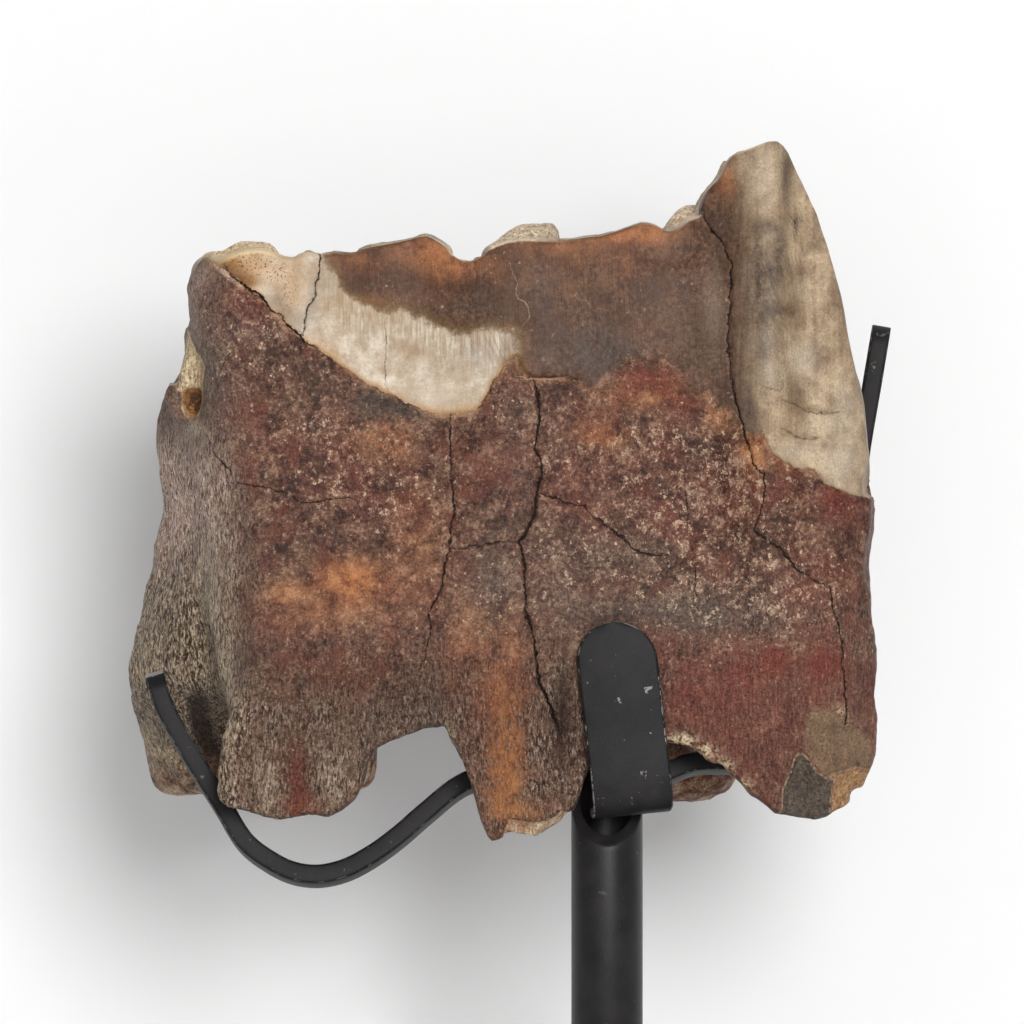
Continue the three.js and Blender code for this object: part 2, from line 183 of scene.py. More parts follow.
cheekOutline = onWall([
    # the worn top edge, from the front left corner to the tall right column
    (184, 287), (185, 281), (189, 275), (194, 269), (201, 262), (209, 258), (217, 256), (228, 252),
    (237, 248), (246, 248), (264, 250), (271, 253), (283, 257), (293, 257), (298, 253), (306, 251),
    (321, 253), (333, 251), (347, 252), (354, 252), (359, 249), (371, 246), (382, 244), (397, 241),
    (408, 238), (418, 235), (426, 234), (432, 236), (439, 240), (446, 245), (453, 252), (461, 257),
    (470, 259), (477, 256), (484, 253), (488, 248), (496, 244), (505, 241), (519, 239), (540, 239),
    (562, 240), (582, 237), (600, 235), (615, 231), (632, 225), (642, 221), (650, 221), (657, 223),
    (665, 229), (672, 230), (680, 226), (690, 217), (702, 213), (701, 207), (703, 200), (708, 190),
    (714, 183), (721, 177), (724, 170), (729, 160), (734, 154), (744, 149), (757, 144), (769, 140),
    (778, 140), (784, 144), (790, 151), (796, 165), (804, 180), (811, 195), (819, 213), (826, 237),
    # down the right side
    (834, 264), (843, 299), (849, 327), (856, 356), (861, 379), (865, 404), (867, 429), (869, 453),
    (868, 478), (869, 494), (871, 498), (873, 511), (873, 530), (868, 545), (864, 560), (864, 578),
    (871, 597), (871, 615), (874, 636), (877, 652), (876, 675), (876, 698), (879, 721), (879, 739),
    (877, 755), (871, 773), (867, 783), (865, 789), (857, 791), (853, 795), (853, 803), (848, 809),
    (836, 814), (828, 820), (815, 823), (804, 820), (790, 817), (776, 815), (770, 809), (760, 802),
    # the arches between the roots, from right to left
    (751, 796), (747, 790), (742, 783), (735, 776), (728, 769), (722, 763), (714, 763), (708, 760),
    (701, 753), (694, 747), (682, 745), (668, 744), (650, 742), (625, 746), (604, 752), (592, 764),
    (584, 782), (574, 806), (566, 819), (558, 827), (549, 832), (538, 840), (524, 840), (510, 836),
    (499, 839), (493, 841), (488, 836), (482, 821), (476, 801), (472, 787), (465, 768), (457, 751),
    (450, 737), (447, 727), (443, 725), (423, 728), (406, 734), (389, 742), (375, 751), (367, 765),
    (361, 782), (353, 798), (342, 808), (328, 816), (314, 815), (294, 818), (277, 820), (263, 818),
    (257, 814), (241, 809), (227, 807), (220, 801), (217, 790), (217, 773), (221, 742), (228, 717),
    # up the left edge of the wall
    (222, 672), (220, 602), (213, 520), (208, 459), (206, 400), (203, 367), (195, 342), (191, 331),
    (192, 318), (188, 300),
])

cheekLean = curveThrough([[-4, 3.2], [0, 4.2], [8, 5.4], [18, 6.2], [30, 5.2], [45, 4.0], [60, 2.6]])
wallThickness = curveThrough([
    [-4, 6.0], [0, 6.6], [8, 7.6], [20, 9.5], [40, 9.0], [50, 7.0], [60, 4.6],
])
# the crown's plan at each height: front left, left, back left, back right, right, front right
planAt = curveThrough([
    [-4, -30, 0, -35, 14, -30, 26, 8, 27, 15, 13, 18, 0],
    [12, -33, 0, -41.1, 14, -34, 30, 12, 32, 18.4, 13, 21.2, 1],
    [19, -33.6, -1, -39.8, 13, -34, 34, 13, 36, 19.2, 13, 21.2, 0],
    [28, -34, -1, -38.6, 12, -33, 35, 13, 37, 19.6, 13, 21.0, 0],
    [36, -34.4, -1, -38.6, 10, -31, 33, 11, 35, 19.2, 13, 20.4, 0],
    [41, -34.2, 0, -36.0, 10, -29.5, 31.5, 10, 33.5, 17.8, 13, 19.2, 0],
    [49, -33.6, 0, -34.0, 10, -27, 28, 7.5, 30, 15.0, 13, 17.4, 0],
    [62, -31, 0, -31, 10, -24, 24, 4, 26, 11, 12, 14, 0],
])
planCentre = (-9.0, 15.0)
planRounding = 6.5


class OutlineMap:
    # the cheek outline's distance, worked out once on a fine grid and read between its points
    def __init__(self, points, step=0.1):
        self.step = step
        self.low = (-48.0, -8.0)
        across = np.arange(self.low[0], 31.0, step)
        up = np.arange(self.low[1], 66.0, step)
        self.values = polygonDistance(points, *np.meshgrid(across, up, indexing="ij"))

    def at(self, x, z):
        i = np.clip((x - self.low[0]) / self.step, 0, self.values.shape[0] - 1.001)
        k = np.clip((z - self.low[1]) / self.step, 0, self.values.shape[1] - 1.001)
        i0, k0 = i.astype(int), k.astype(int)
        u, v = i - i0, k - k0
        grid = self.values
        low = grid[i0, k0] * (1 - u) + grid[i0 + 1, k0] * u
        high = grid[i0, k0 + 1] * (1 - u) + grid[i0 + 1, k0 + 1] * u
        return low * (1 - v) + high * v


cheekMap = OutlineMap(cheekOutline)


# upright folds of the cheek wall's face: height in mm, x, half width, and the part of the wall they cross
cheekFolds = [
    (1.9, 13.3, 3.0, "upper"), (-0.7, 16.6, 1.2, "crown"), (-1.1, 5.5, 4.5, "crown"),
    (0.8, -8, 5, "crown"), (-0.8, -17, 4, "crown"), (0.9, -26, 6, "all"), (0.9, -7.5, 4, "roots"),
    (-1.6, -16.5, 3.2, "roots"), (0.9, 16, 4.5, "roots"),
]


def cheekSurface(x, z):
    # y of the cheek wall's face
    parts = {"upper": rise(z, 16, 34), "crown": rise(z, 20, 32), "roots": 1 - rise(z, 8, 24), "all": 1.0}
    forward = cheekLean(z)[..., 0]
    for height, middle, halfWidth, part in cheekFolds:
        forward = forward + height * bump(x, middle, halfWidth) * parts[part]
    return -(forward - 4.5 * rise(x, 17.5, 25) - 3.0 * rise(-x, 31.5, 38))


def cheekWall(x, y, z):
    half = wallThickness(z)[..., 0] / 2
    sheet = np.abs(y - cheekSurface(x, z) - half) - half
    # a sharp edge all round, and a well rounded one on the left
    left = rise(-x, 26.5, 31.5) * rise(z, 8, 16) * (1 - 0.8 * rise(z, 30, 42))
    return smoothMax(sheet, cheekMap.at(x, z), 0.4 + 6.1 * left)


def crownPlan(x, y, z):
    flat = planAt(z)
    corners = []
    for i in range(0, flat.shape[-1], 2):
        toX, toY = flat[..., i] - planCentre[0], flat[..., i + 1] - planCentre[1]
        reach = np.hypot(toX, toY)
        scale = (reach - planRounding * 1.12) / reach
        corners.append((planCentre[0] + toX * scale, planCentre[1] + toY * scale))
    return polygonDistance(corners, x, y) - planRounding


# cusps and dips of the chewing surface: height, middle x, half width, middle y, half width
cusps = [(5.3, 7.2, 3.6, 7, 4), (1.2, -25, 12, 30, 6), (-1.6, -20, 6, 24, 5), (-1.4, 6, 4, 23, 6)]


def chewingHeight(x, y):
    height = 48.3 - 0.14 * np.maximum(y - 4, 0) - 0.007 * np.maximum(y - 18, 0) ** 2
    height = height + 3.8 * rise(x, -13.0, -6.8) * (1 - rise(x, -4.6, -3.4)) * bump(y, 7, 4)
    for up, middleX, halfX, middleY, halfY in cusps:
        height = height + up * bump(x, middleX, halfX) * bump(y, middleY, halfY)
    return height


def valley(x, y, z, a, b, halfWidth, floor, flare):
    off = segmentDistance(x, y, a, b)
    return smoothMax(off - (halfWidth + np.maximum(z - floor, 0) * flare), floor - z, 3)


def root(rows):
    axis = curveThrough(rows)
    tip, top = rows[0][0], rows[-1][0]

    def distance(x, y, z):
        columns = axis(np.clip(z, tip, top))
        cx, cy, rx, ry = (columns[..., i] for i in range(4))
        across = np.hypot((x - cx) / rx, (y - cy) / ry) - 1
        return smoothMax(across * np.minimum(rx, ry), np.maximum(tip - z, z - 24), 2)

    return distance


# a porous wedge that fills the corner behind the cheek's left edge
lipWedge = {
    "outline": onWall([
        (196, 328), (187, 331), (181, 358), (177, 384), (168, 387), (164, 397), (176, 420), (225, 425),
        (225, 328),
    ], 1.0),
    "middle": 3.0,  # y
    "halfDepth": 3.2,
}


def porousLip(x, y, z):
    found = np.full(np.shape(x), farAway)
    near = (x < -30) & (x > -40) & (z > 30) & (z < 47)
    sheet = np.abs(y[near] - lipWedge["middle"]) - lipWedge["halfDepth"]
    found[near] = smoothMax(polygonDistance(lipWedge["outline"], x[near], z[near]), sheet, 1.0)
    return found


backLeftRoot = root([
    [3.4, -29.3, 20, 9.5, 8.8], [9, -29.9, 18.5, 10.2, 11], [13, -29.8, 18, 10.5, 13],
    [24, -26, 18, 11, 15],
])
backRightRoot = root([
    [2.6, 2.5, 23, 8.5, 5.0], [8, 1.0, 23, 12, 8.5], [13, 1, 22, 13.5, 11], [24, 2, 20, 15, 14],
])
# valleys and pits in the chewing surface: two ends, half width, floor, flare, blend
valleys = [
    ((-9, 46), (-4, 21), 2.4, 24, 0.2, 3),
    ((-4, 21), (4, 17.5), 2.2, 32, 0.1, 2),
    ((-10.5, 10.5), (-8.5, 14), 2.6, 37, 0.06, 1.2),
    ((-23.5, 12), (-23, 20), 2.6, 34, 0.08, 1.2),
]
# rooms cut out of the tooth: middle, half widths and top
hollow = {"y": 5.6, "z": 1.0, "halfY": 4.9, "halfZ": 8.4}  # between the roots, all along the tooth
postRoom = {"radius": 3.6, "top": 9.5}
groove = {"x": -36.8, "y": 1.4, "halfX": 3.0, "halfY": 2.8, "lean": 0.06, "top": 21}  # up the left side


def toothField(p):
    # below zero inside the tooth
    x, y, z = p[:, 0], p[:, 1], p[:, 2]
    crownFloor = 11.5 + 2.5 * bump(x, -8, 14) * bump(y, 8, 9)
    body = crownPlan(x, y, z)
    body = smoothMax(body, crownFloor - z, 5)
    body = smoothMax(body, z - chewingHeight(x, y), 1.3)
    body = smoothMin(body, backLeftRoot(x, y, z), 4)
    body = smoothMin(body, backRightRoot(x, y, z), 4)
    for *shape, blend in valleys:
        body = smoothMax(body, -valley(x, y, z, *shape), blend)
    field = smoothMin(body, cheekWall(x, y, z), 3 - 2.2 * rise(z, 38, 43) * rise(x, -30, -25))
    field = smoothMin(field, porousLip(x, y, z), 0.8)
    arch = np.hypot((y - hollow["y"]) / hollow["halfY"], (z - hollow["z"]) / hollow["halfZ"]) - 1
    field = smoothMax(field, -arch * hollow["halfY"], 2)
    room = np.hypot(x, y) - postRoom["radius"]
    field = smoothMax(field, -smoothMax(room, z - postRoom["top"], 1.5), 1)
    offX = (x - groove["x"] - groove["lean"] * z) / groove["halfX"]
    channel = np.hypot(offX, (y - groove["y"]) / groove["halfY"]) - 1
    return smoothMax(field, -smoothMax(channel * groove["halfY"], z - groove["top"], 6), 2)


toothMesh = {
    "cell": 0.58,  # mm, the first grid
    "wallEdge": 0.55,  # longest edges in mm: on the cheek wall,
    "sideEdge": 0.72,  # on its sides and the chewing surface,
    "farEdge": 1.3,  # and elsewhere
    "crackEdge": 0.2,  # within crackReach of a crack
    "crackReach": 0.42,
    "rimEdge": 0.2,  # within rimReach of the edge between the cheek wall's face and its rim
    "rimReach": 0.45,
    "gridLow": (-45.0, -12.0, -4.0),
    "gridHigh": (27.0, 44.0, 63.0),
}


def surfaceOf(field, low, high, cell):
    # one point in each grid cell that the surface crosses, joined in quads cut into triangles
    axes = [np.arange(a, b + cell, cell) for a, b in zip(low, high)]
    shape = tuple(len(a) for a in axes)
    grid = np.stack(np.meshgrid(*axes, indexing="ij"), axis=-1)
    values = field(grid.reshape(-1, 3)).reshape(shape)
    cells = tuple(n - 1 for n in shape)
    total = np.zeros((*cells, 3))
    crossings = np.zeros(cells)
    corners = [(c & 1, (c >> 1) & 1, c >> 2) for c in range(8)]

    def corner(c):
        return values[c[0]:c[0] + cells[0], c[1]:c[1] + cells[1], c[2]:c[2] + cells[2]]

    for m, a in enumerate(corners):
        for b in corners[m + 1:]:
            if sum(abs(s - t) for s, t in zip(a, b)) != 1:
                continue
            va, vb = corner(a), corner(b)
            crossed = (va < 0) != (vb < 0)
            share = np.where(crossed, va / np.where(crossed, va - vb, 1), 0)
            place = np.array(a) + (np.array(b) - np.array(a)) * share[..., None]
            total += np.where(crossed[..., None], place, 0)
            crossings += crossed
    used = crossings > 0
    pointOf = np.full(cells, -1)
    pointOf[used] = np.arange(used.sum())
    at = np.argwhere(used)
    points = np.array(low) + (at + total[used] / crossings[used][:, None]) * cell
    faces = []
    inside = values < 0
    for axis in range(3):
        u, v = (axis + 1) % 3, (axis + 2) % 3
        here = [slice(1, n - 1) for n in shape]
        after = list(here)
        after[axis] = slice(2, shape[axis])
        flips = inside[tuple(here)] != inside[tuple(after)]
        k = np.argwhere(flips) + 1
        starts = inside[tuple(k.T)]
        quad = []
        for a, b in ((0, 0), (1, 0), (1, 1), (0, 1)):
            c = k.copy()
            c[:, u] -= a
            c[:, v] -= b
            quad.append(pointOf[tuple(c.T)])
        quad = np.stack(quad, axis=1)
        quad[~starts] = quad[~starts][:, ::-1]
        faces += [quad[:, [0, 1, 2]], quad[:, [0, 2, 3]]]
    return points, np.concatenate(faces)


def slopeOf(field, points, h=0.05):
    slope = np.empty_like(points)
    for axis in range(3):
        step = np.zeros(3)
        step[axis] = h
        slope[:, axis] = (field(points + step) - field(points - step)) / (2 * h)
    return slope


def ontoSurface(field, points, rounds=2):
    for _ in range(rounds):
        slope = slopeOf(field, points)
        off = np.clip(field(points), -0.4, 0.4) / np.maximum((slope**2).sum(1), 0.5)
        points = points - slope * off[:, None]
    return points


def neighbourMiddles(points, faces):
    a = faces[:, [0, 1, 2]].ravel()
    b = faces[:, [1, 2, 0]].ravel()
    total = np.stack([np.bincount(a, points[b, i], len(points)) for i in range(3)], axis=1)
    return total / np.maximum(np.bincount(a, minlength=len(points)), 1)[:, None]


def splitLongEdges(points, faces, longest):
    # each edge longer than longest(middle) is cut in half, and its triangles with it
    edges = faces[:, [0, 1, 1, 2, 2, 0]].reshape(-1, 3, 2)
    low, high = edges.min(2), edges.max(2)
    codes, which = np.unique(low * len(points) + high, return_inverse=True)
    which = which.reshape(-1, 3)
    a, b = codes // len(points), codes % len(points)
    middle = (points[a] + points[b]) / 2
    cut = np.linalg.norm(points[a] - points[b], axis=1) > longest(middle)
    fresh = np.full(len(codes), -1)
    fresh[cut] = len(points) + np.arange(cut.sum())
    mids = fresh[which]
    marks = mids >= 0
    count = marks.sum(1)
    made = [faces[count == 0]]
    # turn each triangle so that its pattern of cut edges starts at edge 0
    for pattern, start in ((1, [1, 0, 0]), (2, [1, 1, 0])):
        for turn in range(3):
            order = [(i + turn) % 3 for i in range(3)]
            rows = (count == pattern) & np.all(marks[:, order] == np.array(start, bool), axis=1)
            v, m = faces[rows][:, order], mids[rows][:, order]
            if pattern == 1:
                made += [np.stack(t, 1) for t in (
                    (v[:, 0], m[:, 0], v[:, 2]), (m[:, 0], v[:, 1], v[:, 2]),
                )]
            else:
                made += [np.stack(t, 1) for t in (
                    (m[:, 0], v[:, 1], m[:, 1]), (v[:, 0], m[:, 0], m[:, 1]), (v[:, 0], m[:, 1], v[:, 2]),
                )]
    rows = count == 3
    v, m = faces[rows], mids[rows]
    made += [np.stack(t, 1) for t in (
        (v[:, 0], m[:, 0], m[:, 2]), (m[:, 0], v[:, 1], m[:, 1]),
        (m[:, 2], m[:, 1], v[:, 2]), (m[:, 0], m[:, 1], m[:, 2]),
    )]
    return np.concatenate([points, middle[cut]]), np.concatenate(made), cut.sum()


def normalsOf(points, faces):
    corner = points[faces]
    face = np.cross(corner[:, 1] - corner[:, 0], corner[:, 2] - corner[:, 0])
    total = np.zeros_like(points)
    for i in range(3):
        for axis in range(3):
            total[:, axis] += np.bincount(faces[:, i], face[:, axis], len(points))
    return total / np.maximum(np.linalg.norm(total, axis=1), 1e-12)[:, None]


# cracks in the cheek wall: view points, half width in mm at the middle, depth in mm
# (a depth below 0 makes a pale raised line)
cracks = {
    "right": ([
        (703, 207), (707, 220), (722, 243), (730, 262), (730, 285), (729, 300), (728, 322), (727, 350),
        (729, 373), (733, 395), (743, 433), (747, 448), (751, 462), (764, 477), (763, 495), (761, 514),
        (757, 523), (753, 532), (766, 540), (780, 547), (787, 559), (797, 570), (812, 579), (829, 586),
        (833, 612), (839, 630), (841, 645), (844, 678), (846, 710), (847, 733),
    ], 0.075, 0.16),
    "middle": ([
        (533, 380), (537, 392), (540, 420), (537, 436), (536, 449), (541, 462), (542, 475), (538, 490),
        (537, 501), (534, 518), (526, 534), (518, 542), (522, 552), (524, 563), (525, 590), (526, 612),
        (531, 628), (534, 645), (538, 668), (544, 691), (549, 703), (553, 713), (560, 730),
    ], 0.13, 0.24),
    "left": ([
        (449, 417), (450, 440), (452, 459), (452, 485), (454, 514), (450, 532), (450, 549), (445, 566),
        (441, 589), (434, 602), (428, 612), (430, 628), (428, 642), (425, 656), (420, 668),
    ], 0.08, 0.14),
    "bridge": ([
        (450, 549), (463, 548), (478, 547), (490, 543), (501, 541), (510, 541), (518, 542),
    ], 0.065, 0.12),
    "branch": ([
        (542, 492), (552, 496), (563, 501), (575, 504), (583, 505), (590, 512), (596, 518), (611, 528),
        (622, 537), (632, 547), (642, 552), (655, 554), (668, 555),
    ], 0.09, 0.16),
    "short": ([(692, 544), (693, 556), (696, 570), (695, 583), (696, 596)], 0.065, 0.1),
    "upperShort": ([(684, 476), (686, 495), (687, 512), (692, 544)], 0.04, 0.08),
    "leftCorner": ([
        (237, 481), (250, 485), (263, 487), (276, 490), (289, 493), (300, 502), (322, 501), (351, 498),
    ], 0.06, 0.1),
    "patch": ([
        (320, 253), (321, 262), (319, 275), (314, 295), (309, 306), (305, 320), (303, 333),
    ], 0.08, 0.14),
    "patchEdge": ([
        (222, 264), (232, 276), (247, 287), (262, 297), (270, 307), (281, 316), (288, 327), (297, 334),
        (307, 341), (313, 345),
    ], 0.1, 0.18),
    "flankUpper": ([(209, 442), (216, 455), (229, 469), (233, 483)], 0.05, 0.1),
    "flankLower": ([(199, 480), (204, 515), (206, 553), (205, 590), (206, 629)], 0.05, 0.1),
    "rim": ([(474, 258), (474, 268), (477, 276)], 0.05, 0.1),
    "patchHair": ([(385, 318), (384, 335), (386, 352), (385, 370), (388, 392)], 0.02, 0.02),
    "upperArc": ([(783, 400), (792, 404), (803, 409), (815, 412), (826, 413), (842, 412)], 0.03, 0.03),
    "lowerArc": ([(783, 428), (791, 433), (800, 437), (809, 438), (818, 438)], 0.03, 0.03),
    "columnArc": ([(751, 381), (766, 388), (781, 392), (784, 376), (792, 362)], 0.012, 0.02),
    "curl": ([
        (508, 262), (510, 267), (515, 280), (518, 296), (526, 305), (528, 315), (523, 327),
    ], 0.035, -0.02),
    "patchTip": ([(497, 329), (506, 328), (515, 333), (518, 344), (514, 354)], 0.03, -0.02),
    "layerEdge": ([
        (519, 376), (526, 379), (538, 378), (548, 380), (560, 377), (570, 378), (576, 381),
    ], 0.11, -0.06),
    "columnSide": ([(793, 214), (796, 224), (798, 234)], 0.035, 0.03),
}
crackLines = [(onWall(points), halfWidth, depth) for points, halfWidth, depth in cracks.values()]


def towardsCheek(p):
    # 1 on the cheek wall's face and the sides that the view sees, 0 behind
    return 1 - rise(p[:, 1] - cheekSurface(p[:, 0], p[:, 2]), 2.5, 5.0)


def crackPlace(p):
    # signed distance to the nearest crack in mm, its half width there (0 away from it) and its depth
    away = np.full(len(p), farAway)
    half = np.zeros(len(p))
    depth = np.zeros(len(p))
    front = towardsCheek(p) > 0.5
    x = p[:, 0] + 0.15 * latticeNoise(p, 0.9, 301) + 0.1 * latticeNoise(p, 0.4, 304)
    z = p[:, 2] + 0.15 * latticeNoise(p, 0.9, 302) + 0.1 * latticeNoise(p, 0.4, 305)
    for line, halfWidth, deep in crackLines:
        xs, zs = np.array(line).T
        inX, inZ = (x > xs.min() - 1) & (x < xs.max() + 1), (z > zs.min() - 1) & (z < zs.max() + 1)
        near = np.flatnonzero(front & inX & inZ)
        off = lineOffset(line, x[near], z[near])
        # each crack opens and closes along its way and thins out at its ends
        first, last = (np.hypot(x[near] - xs[i], z[near] - zs[i]) for i in (0, -1))
        opening = halfWidth * (0.85 + 0.45 * latticeNoise(p[near], 1.7, 303))
        opening *= 0.5 + 0.5 * rise(np.minimum(first, last), 0, 2.5)
        nearer = np.abs(off) < np.abs(away[near])
        chosen = near[nearer]
        away[chosen] = off[nearer]
        half[chosen] = (opening * (1 - rise(np.abs(off), 0.3, 0.5)))[nearer]
        depth[chosen] = deep
    return away, half, depth


def nearRim(p):
    ahead = p[:, 1] - cheekSurface(p[:, 0], p[:, 2]) < toothMesh["rimReach"]
    return ahead & (np.abs(cheekMap.at(p[:, 0], p[:, 2])) < toothMesh["rimReach"]) & (p[:, 2] > 38)


def longestEdge(p):
    x, z = p[:, 0], p[:, 2]
    sides = np.maximum(rise(z, 42, 45), np.maximum(rise(-x, 31, 33), rise(x, 15, 17))) * (p[:, 1] < 24)
    edge = np.where(sides > 0.5, toothMesh["sideEdge"], toothMesh["farEdge"])
    edge = np.where(towardsCheek(p) > 0.3, toothMesh["wallEdge"], edge)
    edge = np.where(nearRim(p), toothMesh["rimEdge"], edge)
    off, _, _ = crackPlace(p)
    return np.where(np.abs(off) < toothMesh["crackReach"], toothMesh["crackEdge"], edge)


def makeToothSurface():
    points, faces = surfaceOf(toothField, toothMesh["gridLow"], toothMesh["gridHigh"], toothMesh["cell"])
    for _ in range(3):
        points = points + (neighbourMiddles(points, faces) - points) * 0.5
        points = ontoSurface(toothField, points)
    for _ in range(7):
        old = len(points)
        points, faces, cuts = splitLongEdges(points, faces, longestEdge)
        points[old:] = ontoSurface(toothField, points[old:], 1)
        if cuts == 0:
            break
    for _ in range(2):
        eased = np.where(nearRim(points), 0.1, 0.4)[:, None]
        points = points + (neighbourMiddles(points, faces) - points) * eased
        points = ontoSurface(toothField, points, 1)
    return points, faces


# The brown outer layer ends along this line, and the enamel above it is bare.
enamelOutline = onWall([
    (200, 215), (209, 258), (214, 263), (222, 268), (232, 277), (247, 287), (258, 295), (268, 305),
    (278, 316), (287, 327), (297, 335), (307, 341), (313, 344), (322, 352), (333, 359), (345, 368),
    (355, 375), (370, 383), (385, 391), (397, 397), (408, 403), (424, 411), (435, 414), (444, 416),
    (455, 417), (463, 416), (473, 411), (480, 405), (487, 394), (493, 382), (503, 368), (512, 357),
    (518, 354), (521, 366), (525, 374), (533, 378), (550, 379), (565, 378), (578, 381), (584, 387),
    (591, 391), (602, 390), (610, 385), (618, 373), (627, 364), (640, 360), (653, 361), (669, 367),
    (685, 376), (698, 389), (711, 405), (725, 418), (738, 428), (748, 433), (757, 434), (763, 431),
    (768, 441), (773, 451), (783, 461), (793, 467), (803, 469), (812, 467), (819, 475), (825, 483),
    (840, 490), (856, 494), (870, 497), (960, 497), (960, 60), (700, 60), (200, 100),
])
# the cream enamel's upper edge in the left patch, where a stain covers it
stainEdge = onWall([
    (318, 230), (325, 256), (333, 271), (346, 289), (360, 299), (373, 305), (392, 308), (408, 311),
    (424, 316), (441, 325), (457, 332), (470, 332), (483, 329), (498, 328), (512, 329), (519, 343),
    (530, 420), (200, 500), (120, 300), (200, 180),
])
# the right column's left edge
columnEdge = onWall([
    (722, 100), (735, 153), (742, 175), (747, 196), (752, 215), (755, 235), (755, 264), (754, 294),
    (752, 327), (750, 352), (750, 376), (752, 405), (755, 434), (760, 520), (990, 520), (990, 100),
])
chipUpper = onWall([
    (806, 712), (814, 705), (826, 706), (848, 716), (860, 727), (874, 744), (890, 770), (868, 771),
    (855, 767), (841, 772), (827, 778), (815, 771), (808, 758), (803, 735),
])
chipGrey = onWall([
    (792, 764), (800, 752), (808, 758), (815, 771), (827, 778), (835, 780), (832, 800), (838, 830),
    (778, 830), (783, 795),
])
chipTan = onWall([
    (835, 780), (827, 778), (841, 772), (855, 767), (868, 771), (890, 770), (885, 830), (838, 830),
    (832, 800),
])
tipWedge = onWall([
    (505, 828), (509, 819), (520, 821), (533, 823), (548, 820), (560, 812), (575, 812), (570, 850),
    (500, 850),
])
lipEdge = onWall([
    (150, 300), (184, 322), (194, 345), (203, 368), (205, 386), (203, 404), (198, 417), (189, 421),
    (182, 408), (180, 392), (172, 384), (150, 384),
], 1.0)
lipPit = onWall([
    (181, 391), (190, 386), (199, 388), (201, 397), (198, 412), (194, 420), (185, 421), (183, 408),
], 1.0)
